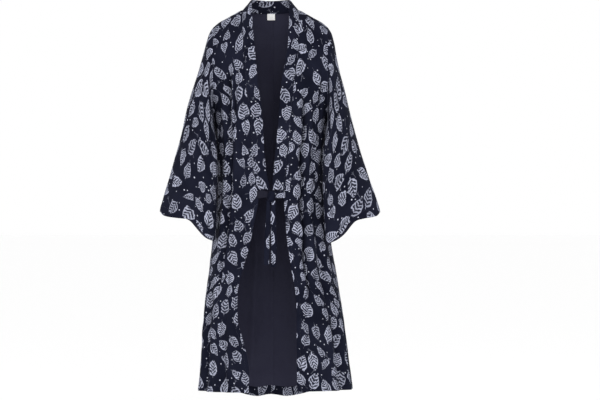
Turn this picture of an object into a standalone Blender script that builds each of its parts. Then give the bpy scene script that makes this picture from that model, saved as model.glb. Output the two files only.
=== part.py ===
"""Cotton yukata robe, worn open and tied at the waist, as one hollow garment with no wearer.

Metres, +Z up. The origin is the middle of the neck opening, level with the back neck seam, where the
shoulders carry the robe. The front faces -Y and the wearer's right side is at -X, the LEFT of a view
from the front; pieces are named left and right as that view shows them.
"""

import math

import bmesh
import bpy
import numpy as np

# Driving sizes
CLOTH = 0.0018  # wall of a cloth panel
BAND = 0.0030  # wall of the collar band, folded cloth with a stiffener
TIE = 0.0024  # wall of the tie, a narrow folded strip
SEAM_GAP = 0.0004  # between two pieces along a seam
ARMHOLE_GAP = 0.0018  # the sleeve turns sharply away from the body there
NECK_GAP = 0.0012  # the collar turns sharply up from the back there
LAID_GAP = 0.0012  # under what is sewn flat inside the back

NECK_HALF_WIDTH = 0.092  # from the centre to the collar seam at the shoulder
NECK_DEPTH = 0.065  # from the shoulder seam back to the collar seam at the nape
NECK_RISE = 0.013  # the shoulder seam at the neck stands above the nape seam
SHOULDER_Y = 0.010  # the shoulder seam lies this far behind the origin
ARMHOLE_X = 0.190  # the armhole seam, out from the centre
ARMHOLE_HALF_DEPTH = 0.086  # the armhole's oval, half of it from front to back
ARMPIT_Z = -0.340
FRONT_HEM_Z = -1.257
BACK_HEM_DIP = 0.030  # the back hem hangs this much lower at its centre than at the side seams
COLLAR_END_Z = -0.587  # the collar band stops here, at the tie
HEM_TURN = 0.028  # height of the turned-up back hem

SIDE_POWER = 2.3  # how boxy the body's plan section is, where 2 is an ellipse
SIDE_ROUND = 2 / SIDE_POWER
CHEST_POWER = 2.4  # how soon the chest and the back reach their full depth below the shoulder
CHEST_ROUND, NAPE_ROUND = 0.65, 1.0  # how the cloth leaves the shoulder seam and the nape, 1 is straight down
NAPE_FADE = 3.0  # how soon the back leaves the round of the neck
SIDE_HOLD = 3.0  # how closely the armhole's depth stays at the side, near the armpit

FRONT_COLUMNS, BACK_COLUMNS = 22, 17
NECK_COLUMNS = 7  # of the back's columns, those that start along the neck
YOKE_ROWS, SKIRT_ROWS = 10, 16  # above and below the armpit
RIDGE_ROW = 0.02  # an extra row this far into the first one, so that the shoulder seam is round
SLEEVE_SIDES, SLEEVE_ROWS = 26, 16

LEFT, RIGHT = -1, 1
SMALL = 1e-3  # a small step of an angle or a drop, for slopes

# The shoulder line seen from the front
SHOULDER = {
    "across": (0.000, 0.092, 0.120, 0.148, 0.172, 0.190),
    "z": (0.013, 0.013, 0.000, -0.016, -0.031, -0.047),
}

# The body's sections below the armpit: half widths to each side, depths before and behind the shoulder seam
SECTIONS = {
    "z": (-1.300, -1.150, -0.980, -0.860, -0.750, -0.600, -0.480, -0.410, -0.340),
    "left": (0.244, 0.231, 0.220, 0.205, 0.193, 0.181, 0.179, 0.1848, 0.1895),
    "right": (0.273, 0.250, 0.229, 0.212, 0.198, 0.183, 0.180, 0.1848, 0.1895),
    "front": (0.176, 0.168, 0.158, 0.152, 0.148, 0.142, 0.139, 0.137, 0.135),
    "back": (0.158, 0.150, 0.141, 0.134, 0.124, 0.103, 0.102, 0.1035, 0.105),
}

# The inner edge of each front, out from the centre: the collar seam down to the tie, a free edge below it
FRONT_EDGE = {
    "z": (-1.257, -1.150, -1.085, -1.010, -0.930, -0.853, -0.780, -0.690, -0.613,
          -0.587, -0.533, -0.450, -0.340, -0.230, -0.173, -0.120, -0.060, 0.013),
    "left": (0.069, 0.072, 0.088, 0.107, 0.107, 0.091, 0.070, 0.054, 0.042,
             0.045, 0.051, 0.060, 0.066, 0.080, 0.084, 0.087, 0.090, 0.092),
    "right": (0.089, 0.088, 0.087, 0.087, 0.084, 0.071, 0.058, 0.048, 0.042,
              0.045, 0.051, 0.059, 0.069, 0.077, 0.086, 0.093, 0.093, 0.092),
}

# Sleeve rings: the outer fold and the inner fold seen from the front, and the ring's half depth.
# outer_out and inner_out are from the centre, outer_y and inner_y from the shoulder seam, forward negative.
SLEEVE = {
    "outer_out": (0.190, 0.203, 0.2115, 0.2215, 0.2325, 0.2455, 0.261, 0.276, 0.296, 0.321, 0.346, 0.367),
    "outer_z": (-0.047, -0.073, -0.100, -0.140, -0.180, -0.227, -0.287, -0.353, -0.437, -0.520, -0.593, -0.667),
    "outer_y": (0.000, 0.000, -0.001, -0.003, -0.006, -0.010, -0.015, -0.021, -0.028, -0.035, -0.040, -0.044),
    "inner_out": (0.190, 0.1900, 0.1892, 0.1872, 0.1845, 0.181, 0.177, 0.175, 0.1755, 0.1765, 0.179, 0.182),
    "inner_z": (-0.340, -0.347, -0.357, -0.372, -0.390, -0.413, -0.450, -0.500, -0.570, -0.635, -0.695, -0.750),
    "inner_y": (0.000, -0.006, -0.018, -0.034, -0.049, -0.062, -0.077, -0.090, -0.099, -0.104, -0.108, -0.112),
    "half_depth": (0.086, 0.088, 0.089, 0.088, 0.086, 0.083, 0.079, 0.074, 0.067, 0.060, 0.055, 0.051),
}
SLEEVE_BOX = 0.85  # how boxy a sleeve ring is low down, where 1 is an ellipse
SLEEVE_TUCK = 0.020  # behind its inner fold a sleeve stands this much farther out, round the side of the body
# Folds of the sleeves: round the ring in degrees, 0 at the outer fold, 90 in front and 180 at the inner fold
SLEEVE_FOLDS = {
    "around": (104, 146, 62, 250, 212, 292),
    "turn": (-8, -14, 6, 10, 12, -8),
    "start": (0.42, 0.06, 0.20, 0.38, 0.08, 0.15),
    "end": (1.20, 0.80, 0.72, 1.20, 0.86, 0.66),
    "depth": (0.011, 0.010, 0.006, 0.012, 0.011, 0.006),
    "width": (15, 11, 13, 16, 12, 14),
}
SLEEVE_FOLD_FADE = 0.25
CUFF_LIFT, CUFF_LIFT_AT, CUFF_LIFT_HALF = 0.026, 0.46, 0.19  # the cuff's lower edge waves up in the middle

# Folds of the body: lines down a panel, at an angle round the section, 0 at the centre and 90 at the side
FOLDS = {
    "piece": ("front_left", "front_left", "front_left", "front_left",
              "front_right", "front_right", "front_right",
              "back_left", "back_left", "back_left", "back_right", "back_right", "back_right"),
    "top_angle": (45, 30, 66, 40, 35, 50, 58, 12, 50, 74, 16, 46, 70),
    "low_angle": (58, 31, 64, 37, 35, 52, 64, 16, 58, 70, 22, 62, 74),
    "top_z": (-0.14, -0.30, -0.84, -0.86, -0.24, -0.66, -0.92, -0.62, -0.16, -0.70, -0.74, -0.20, -0.58),
    "low_z": (-0.93, -0.62, -1.40, -1.40, -0.95, -1.05, -1.40, -1.40, -0.66, -1.40, -1.40, -0.72, -1.40),
    "depth": (0.032, 0.009, 0.017, 0.011, 0.031, 0.015, 0.019, 0.014, 0.018, 0.018, 0.012, 0.016, 0.020),
    "width": (3.6, 3.4, 5.0, 4.0, 3.4, 4.5, 5.0, 5.0, 5.0, 5.5, 5.0, 5.0, 5.5),
}
FOLD_FADE = 0.16  # a fold grows and dies over this height
FOLD_RIDGE = 0.28  # the cloth pushed out of a fold stands this share of it proud on each side
RIDGE_AT, RIDGE_WIDTH = 2.1, 1.3  # in fold widths
FOLD_CROWD = 2.2  # columns stand closer where a fold is

# Collar band, from the nape round to its end: where its free edge lies from its seam.
# path is 0 at the nape, 1 at the shoulder and 2 at the end of the band.
COLLAR = {
    "path": (0.00, 0.50, 1.00, 1.12, 1.30, 1.55, 2.00),
    "inward": (0.000, 0.016, 0.029, 0.031, 0.037, 0.040, 0.040),
    "forward": (0.006, 0.006, 0.004, 0.003, 0.004, 0.003, 0.003),
    "up": (0.0425, 0.0385, 0.0285, 0.0220, 0.0060, 0.0000, 0.0000),
}
COLLAR_ACROSS = 2

# Tie: two bands from the ends of the collar to the knot, and two tails
TIE_TOP_Z, TIE_LOW_Z = -0.5890, -0.6140
TIE_FORWARD = 0.0045  # the bands lie this far before the fronts' edges
TIE_PAST_EDGE = 1.12  # a band starts this much farther out than the front's edge
TIE_BOW = 0.0015  # a band bows forward by this much
TIE_NARROWS = (0.002, 0.003)  # its upper and lower edge at the knot, nearer each other by these
TIE_COLUMNS = 3
KNOT_HALF = (0.0155, 0.0100, 0.0195)
KNOT_CENTRE_Z = -0.608
KNOT_PINCH = 0.25  # the knot is this much narrower at its top and foot
TAILS = {
    "piece": ("tie_tail_left", "tie_tail_right"),
    "top_x": (-0.0098, 0.0092),
    "low_x": (-0.0125, 0.0100),
    "low_z": (-0.836, -0.842),
    "width": (0.0165, 0.0175),
    "sway": (0.0010, -0.0012),
}
TAIL_ROWS = 12
TAIL_CROWN = 0.0012  # a tail is this much rounder along its middle
TAIL_PINCH, TAIL_OPENS_BY = 0.28, 0.3  # it leaves the knot this much narrower, and is full this far down

LABEL_WIDTH, LABEL_HEIGHT, LABEL_WALL = 0.029, 0.021, 0.0010
LABEL_OUT = 0.001  # the label hangs this far off the centre
LABEL_BELOW_SEAM = 0.006  # as a share of the height from the neck to the armpit

PRINTED = (0.053, 0.058, 0.084)  # the navy cloth and its grey leaves together
REVERSE = (0.019, 0.018, 0.033)  # the plain back of the cloth
WHITE = (0.80, 0.80, 0.79)


def column(table, name, at, key="z"):
    """Smooth value of one column of a table at each place in its key column."""
    x = np.asarray(table[key], float)
    y = np.asarray(table[name], float)
    step = np.diff(y) / np.diff(x)
    slope = np.concatenate([step[:1], (step[1:] + step[:-1]) / 2, step[-1:]])
    turning = np.concatenate([[False], step[1:] * step[:-1] <= 0, [False]])
    slope[turning] = 0.0
    at = np.clip(at, x[0], x[-1])
    cell = np.clip(np.searchsorted(x, at, side="right") - 1, 0, len(x) - 2)
    width = x[cell + 1] - x[cell]
    t = (at - x[cell]) / width
    return (
        y[cell] * (1 + 2 * t) * (1 - t) ** 2
        + y[cell + 1] * t**2 * (3 - 2 * t)
        + width * slope[cell] * t * (1 - t) ** 2
        + width * slope[cell + 1] * t**2 * (t - 1)
    )


def ease(value, low, high):
    """0 up to low, 1 from high on, and smooth between them."""
    t = np.clip((value - low) / (high - low), 0.0, 1.0)
    return t * t * (3 - 2 * t)


def word(side):
    return "left" if side == LEFT else "right"


def shoulder_z(across):
    return column(SHOULDER, "z", across, "across")


def top_of(face, across):
    """Where a panel starts: the shoulder seam and, on the back, the curve of the neck."""
    inside = np.clip(across / NECK_HALF_WIDTH, 0.0, 1.0)
    if face == "front":
        return np.full_like(across, SHOULDER_Y), shoulder_z(across)
    y = SHOULDER_Y + NECK_DEPTH * np.sqrt(1 - inside**2)
    return y, np.where(inside < 1, NECK_RISE * inside**2, shoulder_z(across))


def body_base(side, face, drop, angles):
    """Points of the body with no folds. drop is 0 at the shoulder, 1 at the armpit and 2 at the hem."""
    lateral = np.sin(angles) ** SIDE_ROUND
    forward = -1 if face == "front" else 1
    if drop < 1:
        share = (1 - math.cos(math.pi * drop)) / 2
        across = ARMHOLE_X * lateral
        top_y, top_z = top_of(face, across)
        z = top_z + (ARMPIT_Z - top_z) * share
        near_neck = 1 - ease(across / NECK_HALF_WIDTH, 0.6, 1.3)
        leaving = CHEST_ROUND + (NAPE_ROUND - CHEST_ROUND) * near_neck * (face == "back")
        fullness = (1 - (1 - share) ** CHEST_POWER) ** leaving
        middle = column(SECTIONS, face, ARMPIT_Z) * fullness
        side_depth = ARMHOLE_HALF_DEPTH * math.sin(math.pi * drop)
        power = 1 + (SIDE_POWER - 1) * share
        side_hold = 1 + SIDE_HOLD * share**3
        start = (top_y - SHOULDER_Y) * (1 - share) ** NAPE_FADE
    else:
        level = ARMPIT_Z + (drop - 1) * (FRONT_HEM_Z - ARMPIT_Z)
        dip = BACK_HEM_DIP * (drop - 1) ** 3 if face == "back" else 0.0
        z = level - dip * np.cos(angles) ** 2
        across = column(SECTIONS, word(side), level) * lateral
        middle = column(SECTIONS, face, level)
        side_depth, power, start, side_hold = 0.0, SIDE_POWER, 0.0, 1.0
    curve = (1 - np.clip(lateral, 0, 1) ** power) ** (1 / power)
    y = SHOULDER_Y + start + forward * (middle * curve + side_depth * (1 - curve) ** side_hold)
    return np.stack([side * across, y, z], axis=-1)


def folds_of(piece):
    rows = zip(*FOLDS.values())
    return [dict(zip(FOLDS, row)) for row in rows if row[0] == piece]


def fold_line(fold, z):
    """The fold's angle and its strength at this height."""
    along = np.clip((fold["top_z"] - z) / (fold["top_z"] - fold["low_z"]), 0.0, 1.0)
    angle = fold["top_angle"] + (fold["low_angle"] - fold["top_angle"]) * along**2
    grown = ease(z, fold["low_z"], fold["low_z"] + FOLD_FADE)
    return angle, grown * (1 - ease(z, fold["top_z"] - FOLD_FADE, fold["top_z"]))


def fold_offset(piece, angles, z):
    """How far the cloth stands out of the plain section, by its folds."""
    total = np.zeros_like(angles)
    for fold in folds_of(piece):
        centre, strength = fold_line(fold, z)
        away = np.abs(np.degrees(angles) - centre) / fold["width"]
        trough = np.exp(-(away**1.5))
        ridge = FOLD_RIDGE * np.exp(-(((away - RIDGE_AT) / RIDGE_WIDTH) ** 2))
        total += strength * fold["depth"] * (ridge - trough)
    edge = ease(np.degrees(angles), 90, 80)
    return total * edge


def folded(side, face, drop, angles):
    """Points of a body panel with its folds."""
    base = body_base(side, face, drop, angles)
    before = body_base(side, face, drop, np.clip(angles - SMALL, 1e-4, None))
    after = body_base(side, face, drop, np.clip(angles + SMALL, None, math.pi / 2))
    along = (after - before)[:, :2]
    along /= np.linalg.norm(along, axis=1, keepdims=True)
    turn = side if face == "front" else -side
    outward = np.stack([along[:, 1], -along[:, 0]], axis=-1) * turn
    offset = fold_offset(f"{face}_{word(side)}", angles, base[:, 2])
    base[:, :2] += outward * offset[:, None]
    return base


def body_points(side, face, drop, angles, lift=0.0):
    """Points of a body panel with its folds, moved out from the cloth by lift."""
    points = folded(side, face, drop, angles)
    if not lift:
        return points
    low, high = np.clip(angles - SMALL, 1e-4, None), np.clip(angles + SMALL, None, math.pi / 2)
    along = folded(side, face, drop, high) - folded(side, face, drop, low)
    down = folded(side, face, min(drop + SMALL, 2), angles) - folded(side, face, drop - SMALL, angles)
    turn = side if face == "front" else -side
    normal = np.cross(down, along) * turn
    return points + normal / np.linalg.norm(normal, axis=1, keepdims=True) * lift


def edge_angle(side, drop):
    """The angle where a front's inner edge lies at this drop."""
    angle = math.radians(20)
    for _ in range(6):
        point = body_base(side, "front", drop, np.array([angle]))[0]
        half_width = abs(point[0]) / math.sin(angle) ** SIDE_ROUND
        out = float(column(FRONT_EDGE, word(side), point[2]))
        angle = math.asin(min(out / half_width, 1.0) ** (1 / SIDE_ROUND))
    return angle


def spread(first, last, count, piece, z):
    """Angles from first to last, closer together where a fold is."""
    fine = np.linspace(first, last, 240)
    density = np.ones_like(fine)
    for fold in folds_of(piece):
        centre, strength = fold_line(fold, z)
        away = (np.degrees(fine) - centre) / (2 * fold["width"])
        density += FOLD_CROWD * strength * np.exp(-(away**2))
    total = np.concatenate([[0.0], np.cumsum((density[1:] + density[:-1]) / 2)])
    return np.interp(np.linspace(0, total[-1], count + 1), total, fine)


def drops():
    """The rows of a body panel, shoulder to hem."""
    yoke = [i / YOKE_ROWS for i in range(YOKE_ROWS)]
    yoke.insert(1, RIDGE_ROW)
    return yoke + [1 + i / SKIRT_ROWS for i in range(SKIRT_ROWS + 1)]


def row_height(side, face, drop):
    return float(body_base(side, face, drop, np.array([math.pi / 4]))[0, 2])


def angle_at(share_of_width):
    """The angle where a point lies this share of the way out to the side."""
    return np.arcsin(np.clip(share_of_width, 0, 1) ** (1 / SIDE_ROUND))


def neck_angles(count):
    """The back's columns along its top edge: the neck first, then the shoulder seam."""
    turns = np.linspace(0, math.pi / 2, NECK_COLUMNS + 1)
    out = np.linspace(NECK_HALF_WIDTH, ARMHOLE_X, count - NECK_COLUMNS + 1)[1:]
    return angle_at(np.concatenate([NECK_HALF_WIDTH * np.sin(turns), out]) / ARMHOLE_X)


def panel_rows(side, face, count, lift=0.0, rows=None):
    piece = f"{face}_{word(side)}"
    made = []
    for drop in rows or drops():
        first = edge_angle(side, drop) if face == "front" else 1e-3
        angles = spread(first, math.pi / 2, count, piece, row_height(side, face, drop))
        if face == "back":
            top = np.maximum(neck_angles(count), first)
            angles = top + (angles - top) * ease(drop, 0, 1)
        points = body_points(side, face, drop, angles, lift)
        if face == "back":
            points[0, 0] = side * SEAM_GAP / 2
        points[-1, 1] += (-1 if face == "front" else 1) * SEAM_GAP / 2
        if drop == 0:
            seam = np.abs(points[:, 0]) >= NECK_HALF_WIDTH - SEAM_GAP
            points[seam, 1] += (-1 if face == "front" else 1) * SEAM_GAP / 2
        made.append(points)
    return np.array(made)


def add_grid(name, rows, wall, colour, closed=False, flip=False):
    """A sheet through rows of points, thickened to the wall it is cut from."""
    mesh = bpy.data.meshes.new(name)
    bm = bmesh.new()
    verts = [[bm.verts.new(p) for p in row] for row in rows]
    for above, below in zip(verts, verts[1:]):
        count = len(above)
        for i in range(count if closed else count - 1):
            j = (i + 1) % count
            corners = (above[i], above[j], below[j], below[i])
            bm.faces.new(corners[::-1] if flip else corners)
    bm.to_mesh(mesh)
    bm.free()
    obj = bpy.data.objects.new(name, mesh)
    wall_of = obj.modifiers.new("wall", "SOLIDIFY")
    wall_of.thickness = wall
    wall_of.offset = 0.0
    return finish(obj, colour)


def finish(obj, colour):
    """Smooth shading, the piece's own material, and its place in the robe's collection."""
    mesh = obj.data
    mesh.shade_smooth()
    material = bpy.data.materials.new(f"{obj.name} cloth")
    material.use_nodes = True
    shader = material.node_tree.nodes["Principled BSDF"]
    shader.inputs["Base Color"].default_value = (*colour, 1.0)
    shader.inputs["Roughness"].default_value = 0.9
    shader.inputs["Metallic"].default_value = 0.0
    mesh.materials.append(material)
    bpy.data.collections["Cotton yukata robe"].objects.link(obj)
    return obj


def make_body():
    for side in (LEFT, RIGHT):
        for face, count in (("front", FRONT_COLUMNS), ("back", BACK_COLUMNS)):
            rows = panel_rows(side, face, count)
            flip = (side == LEFT) == (face == "front")
            add_grid(f"{face}_{word(side)}", rows, CLOTH, PRINTED, flip=flip)


def sleeve_ring(side, place, around):
    """One ring of a sleeve: place runs from armhole to cuff, around from 0 to 2 pi with the front first."""
    stations = np.linspace(0, 1, len(SLEEVE["outer_z"]))
    table = {"place": stations, **SLEEVE}
    at = {name: float(column(table, name, place, "place")) for name in SLEEVE}
    inner_share = (1 - np.cos(around)) / 2
    box = 1 + (SLEEVE_BOX - 1) * place
    bulge = np.sign(np.sin(around)) * np.abs(np.sin(around)) ** box
    out = at["outer_out"] + (at["inner_out"] - at["outer_out"]) * inner_share
    out += SLEEVE_TUCK * ease(place, 0, 0.25) * inner_share * np.clip(-np.sin(around), 0, 1)
    z = at["outer_z"] + (at["inner_z"] - at["outer_z"]) * inner_share
    y = SHOULDER_Y + at["outer_y"] + (at["inner_y"] - at["outer_y"]) * inner_share - at["half_depth"] * bulge
    lift = np.exp(-(((inner_share - CUFF_LIFT_AT) / CUFF_LIFT_HALF) ** 2)) * place**6
    ring = np.stack([side * (out + ARMHOLE_GAP * (1 - place)), y, z + CUFF_LIFT * lift], axis=-1)
    centre = ring.mean(axis=0)
    across = np.array([side * (at["outer_out"] - at["inner_out"]), 0, at["outer_z"] - at["inner_z"]])
    axis = np.cross(across, (0, 1, 0))
    outward = np.cross(np.roll(ring, -1, axis=0) - np.roll(ring, 1, axis=0), axis)
    outward *= np.sign(np.sum(outward * (ring - centre), axis=1, keepdims=True))
    outward /= np.linalg.norm(outward, axis=1, keepdims=True)
    return ring + outward * sleeve_fold_offset(around, place)[:, None]


def sleeve_fold_offset(around, place):
    """How far a sleeve stands out of its plain ring, by its folds."""
    total = np.zeros_like(around)
    for row in zip(*SLEEVE_FOLDS.values()):
        fold = dict(zip(SLEEVE_FOLDS, row))
        centre = math.radians(fold["around"] + fold["turn"] * (place - fold["start"]))
        turned = np.arctan2(np.sin(around - centre), np.cos(around - centre))
        away = np.abs(np.degrees(turned)) / fold["width"]
        trough = np.exp(-(away**1.5))
        ridge = FOLD_RIDGE * np.exp(-(((away - RIDGE_AT) / RIDGE_WIDTH) ** 2))
        grown = ease(place, fold["start"], fold["start"] + SLEEVE_FOLD_FADE)
        strength = grown * (1 - ease(place, fold["end"] - SLEEVE_FOLD_FADE, fold["end"]))
        total += strength * fold["depth"] * (ridge - trough)
    return total


def make_sleeves():
    around = np.linspace(0, 2 * math.pi, SLEEVE_SIDES, endpoint=False)
    for side in (LEFT, RIGHT):
        rings = [sleeve_ring(side, i / SLEEVE_ROWS, around) for i in range(SLEEVE_ROWS + 1)]
        add_grid(f"sleeve_{word(side)}", rings, CLOTH, PRINTED, closed=True, flip=side == LEFT)


def neck_seam(side, path):
    """The collar seam, from the nape (0) over the shoulder (1) to the end of the band (2)."""
    if path <= 1:
        turn = path * math.pi / 2
        across = NECK_HALF_WIDTH * math.sin(turn)
        rise = NECK_RISE * math.sin(turn) ** 2
        return np.array([side * across, SHOULDER_Y + NECK_DEPTH * math.cos(turn), rise])
    drop = drop_at(NECK_RISE + (path - 1) * (COLLAR_END_Z - NECK_RISE))
    return body_points(side, "front", drop, np.array([edge_angle(side, drop)]))[0]


def drop_at(z):
    """The row of a front whose inner edge is at this height."""
    share = (NECK_RISE - z) / (NECK_RISE - ARMPIT_Z)
    if share < 1:
        return math.acos(1 - 2 * share) / math.pi
    return 1 + (ARMPIT_Z - z) / (ARMPIT_Z - FRONT_HEM_Z)


def collar_path():
    """The band's stations: the back's neck columns, then the fronts' rows down to the band's end."""
    neck = np.linspace(0, 1, NECK_COLUMNS + 1)
    heights = [body_base(LEFT, "front", drop, np.array([edge_angle(LEFT, drop)]))[0, 2] for drop in drops()]
    steps = (NECK_RISE - np.array(heights)) / (NECK_RISE - COLLAR_END_Z)
    front = steps[(steps > 0.01) & (steps < 0.97)]
    return np.concatenate([neck, 1 + front, [2.0]])


def collar_strip(side, path):
    """Across the band at one station: its seam edge, then on to its free edge."""
    seam = neck_seam(side, path)
    inward, forward, up = (float(column(COLLAR, name, path, "path")) for name in ("inward", "forward", "up"))
    reach = np.array([-side * inward, -forward, up])
    gap = NECK_GAP + (SEAM_GAP - NECK_GAP) * ease(path, 1.0, 1.15)
    clear = reach / np.linalg.norm(reach) * gap
    return [seam + clear + (reach - clear) * i / COLLAR_ACROSS for i in range(COLLAR_ACROSS + 1)]


def make_collar():
    path = collar_path()
    left = [collar_strip(LEFT, p) for p in path[::-1]]
    right = [collar_strip(RIGHT, p) for p in path[1:]]
    add_grid("collar", left + right, BAND, PRINTED)


def front_y(side, z):
    """Depth of a front's free edge at this height."""
    drop = drop_at(z)
    return body_points(side, "front", drop, np.array([edge_angle(side, drop)]))[0, 1]


def make_ties():
    knot_y = (front_y(LEFT, KNOT_CENTRE_Z) + front_y(RIGHT, KNOT_CENTRE_Z)) / 2 - TIE_FORWARD
    for side in (LEFT, RIGHT):
        outer = side * float(column(FRONT_EDGE, word(side), TIE_TOP_Z)) * TIE_PAST_EDGE
        rows = []
        for t in np.linspace(0, 1, TIE_COLUMNS + 1):
            x = outer + (side * (KNOT_HALF[0] + SEAM_GAP) - outer) * t
            y = knot_y - TIE_BOW * math.sin(math.pi * t)
            upper, lower = TIE_TOP_Z - TIE_NARROWS[0] * t, TIE_LOW_Z + TIE_NARROWS[1] * t
            rows.append([(x, y, upper), (x, y, lower)])
        add_grid(f"tie_{word(side)}", rows, TIE, REVERSE if side == LEFT else PRINTED, flip=side == LEFT)
    make_knot(knot_y)
    for row in zip(*TAILS.values()):
        make_tail(dict(zip(TAILS, row)), knot_y)


def make_knot(knot_y):
    mesh = bpy.data.meshes.new("tie_knot")
    bm = bmesh.new()
    bmesh.ops.create_cube(bm, size=2.0)
    bmesh.ops.subdivide_edges(bm, edges=bm.edges[:], cuts=1, use_grid_fill=True)
    for vert in bm.verts:
        pinch = 1 - KNOT_PINCH * vert.co.z**2
        vert.co.x *= KNOT_HALF[0] * pinch
        vert.co.y *= KNOT_HALF[1]
        vert.co.z *= KNOT_HALF[2]
    bm.to_mesh(mesh)
    bm.free()
    obj = bpy.data.objects.new("tie_knot", mesh)
    obj.location = (0.0, knot_y, KNOT_CENTRE_Z)
    soft = obj.modifiers.new("soft", "SUBSURF")
    soft.levels = soft.render_levels = 1
    finish(obj, PRINTED)


def make_tail(tail, knot_y):
    top = KNOT_CENTRE_Z - KNOT_HALF[2] - SEAM_GAP
    rows = []
    for t in np.linspace(0, 1, TAIL_ROWS + 1):
        x = tail["top_x"] + (tail["low_x"] - tail["top_x"]) * t + tail["sway"] * math.sin(2 * math.pi * t)
        y = knot_y + tail["sway"] * math.sin(3 * math.pi * t)
        half = tail["width"] / 2 * (1 - TAIL_PINCH * (1 - ease(t, 0, TAIL_OPENS_BY)))
        z = top + (tail["low_z"] - top) * t
        rows.append([(x - half, y, z), (x, y - TAIL_CROWN, z), (x + half, y, z)])
    add_grid(tail["piece"], rows, TIE, PRINTED)


def back_sheet(lift, width_from, width_to, rows):
    """Rows of points on the inside of the back, across the centre seam, for what is sewn to it."""
    made = []
    for drop in rows:
        points = []
        for out in np.linspace(width_from, width_to, 5):
            side = LEFT if out < 0 else RIGHT
            angle = float(angle_at(abs(out) / ARMHOLE_X))
            points.append(body_points(side, "back", drop, np.array([max(angle, 1e-3)]), lift)[0])
        made.append(points)
    return made


def make_label():
    lift = -(CLOTH / 2 + LAID_GAP + LABEL_WALL / 2)
    shares = LABEL_BELOW_SEAM + np.linspace(0, LABEL_HEIGHT / -ARMPIT_Z, 4)
    rows = [math.acos(1 - 2 * share) / math.pi for share in shares]
    half = LABEL_WIDTH / 2
    sheet = back_sheet(lift, LABEL_OUT - half, LABEL_OUT + half, rows)
    add_grid("neck_label", sheet, LABEL_WALL, WHITE)


def make_hems():
    """The back hem's turned-up strip, inside each half of the back."""
    height = ARMPIT_Z - FRONT_HEM_Z
    rows = [2 - HEM_TURN / height, 2 - HEM_TURN / 2 / height, 2.0]
    lift = -(CLOTH + LAID_GAP)
    for side in (LEFT, RIGHT):
        sheet = panel_rows(side, "back", BACK_COLUMNS, lift, rows)[:, :-1]
        add_grid(f"hem_{word(side)}", sheet, CLOTH, PRINTED, flip=side == RIGHT)


def main():
    for obj in list(bpy.data.objects):
        bpy.data.objects.remove(obj)
    robe = bpy.data.collections.new("Cotton yukata robe")
    bpy.context.scene.collection.children.link(robe)
    make_body()
    make_sleeves()
    make_collar()
    make_ties()
    make_label()
    make_hems()


main()
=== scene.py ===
"""Cotton yukata robe: the visible cloth, its leaf print, seams, hems, stitching, tie and label.

Metres, +Z up. The front faces -Y. Left and right are as a view from the front shows them.
"""

import math

import bmesh
import bpy
import numpy as np
from bpy.props import FloatProperty, FloatVectorProperty, PointerProperty
from bpy.types import Operator, Panel, PropertyGroup
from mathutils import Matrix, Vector
from mathutils.bvhtree import BVHTree


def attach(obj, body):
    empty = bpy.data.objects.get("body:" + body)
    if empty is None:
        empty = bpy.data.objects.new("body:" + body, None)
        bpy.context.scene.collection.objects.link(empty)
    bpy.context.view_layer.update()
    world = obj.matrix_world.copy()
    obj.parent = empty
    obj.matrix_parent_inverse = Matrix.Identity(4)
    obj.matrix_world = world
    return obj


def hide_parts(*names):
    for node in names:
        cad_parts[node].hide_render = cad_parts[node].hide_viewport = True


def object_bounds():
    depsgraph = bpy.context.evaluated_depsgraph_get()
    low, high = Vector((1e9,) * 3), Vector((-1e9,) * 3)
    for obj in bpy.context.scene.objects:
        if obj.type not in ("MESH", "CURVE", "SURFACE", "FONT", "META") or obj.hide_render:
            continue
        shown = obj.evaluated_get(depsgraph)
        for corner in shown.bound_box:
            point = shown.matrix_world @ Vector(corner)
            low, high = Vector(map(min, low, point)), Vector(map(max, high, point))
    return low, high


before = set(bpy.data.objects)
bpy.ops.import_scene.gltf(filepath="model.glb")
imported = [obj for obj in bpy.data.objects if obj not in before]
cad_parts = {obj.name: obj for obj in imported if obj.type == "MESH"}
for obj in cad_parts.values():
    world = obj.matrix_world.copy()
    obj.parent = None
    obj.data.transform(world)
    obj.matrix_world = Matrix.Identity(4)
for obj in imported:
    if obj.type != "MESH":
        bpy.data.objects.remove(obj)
cad_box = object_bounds()

bl_info = {
    "name": "Cotton Yukata Robe",
    "version": (1, 0, 0),
    "blender": (4, 5, 0),
    "location": "3D View > Sidebar > Robe",
    "description": "Sews a printed cotton robe round its solids, with its hems, tie and label",
    "category": "Object",
}

LEFT, RIGHT = -1, 1
SMALL = 1e-3  # a small step of an angle or a drop, for slopes
ANGLE_STEP = 0.02  # the step of an angle that distances round a panel are measured over

# ---------------------------------------------------------------- the cut, as in the solids
NECK_HALF_WIDTH = 0.092
NECK_DEPTH = 0.065
NECK_RISE, NAPE_RISE = 0.013, 0.006
SHOULDER_Y = 0.010
ARMHOLE_X = 0.190
ARMHOLE_HALF_DEPTH = 0.086
ARMHOLE_CENTRE_Z = -0.19
ARMPIT_Z = -0.340
FRONT_HEM_Z = -1.257
BACK_HEM_DIP, BACK_DIP_POWER = 0.031, 9
SEAM_LIFT, SEAM_LIFT_HALF = 0.011, 0.10  # the centre-back seam holds the hem up a little
HEM_RISE = {LEFT: 0.004, RIGHT: 0.008}
COLLAR_END_Z = -0.587
BODY_LENGTH = ARMPIT_Z - FRONT_HEM_Z  # from the armpit to the front hem
HEM_TURN = 0.028

SIDE_POWER = 2.3
SIDE_ROUND = 2 / SIDE_POWER
CHEST_POWER = 2.4
CHEST_ROUND, NAPE_ROUND = 0.65, 1.0
NAPE_FADE = 3.0
SIDE_HOLD = 3.0

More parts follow.
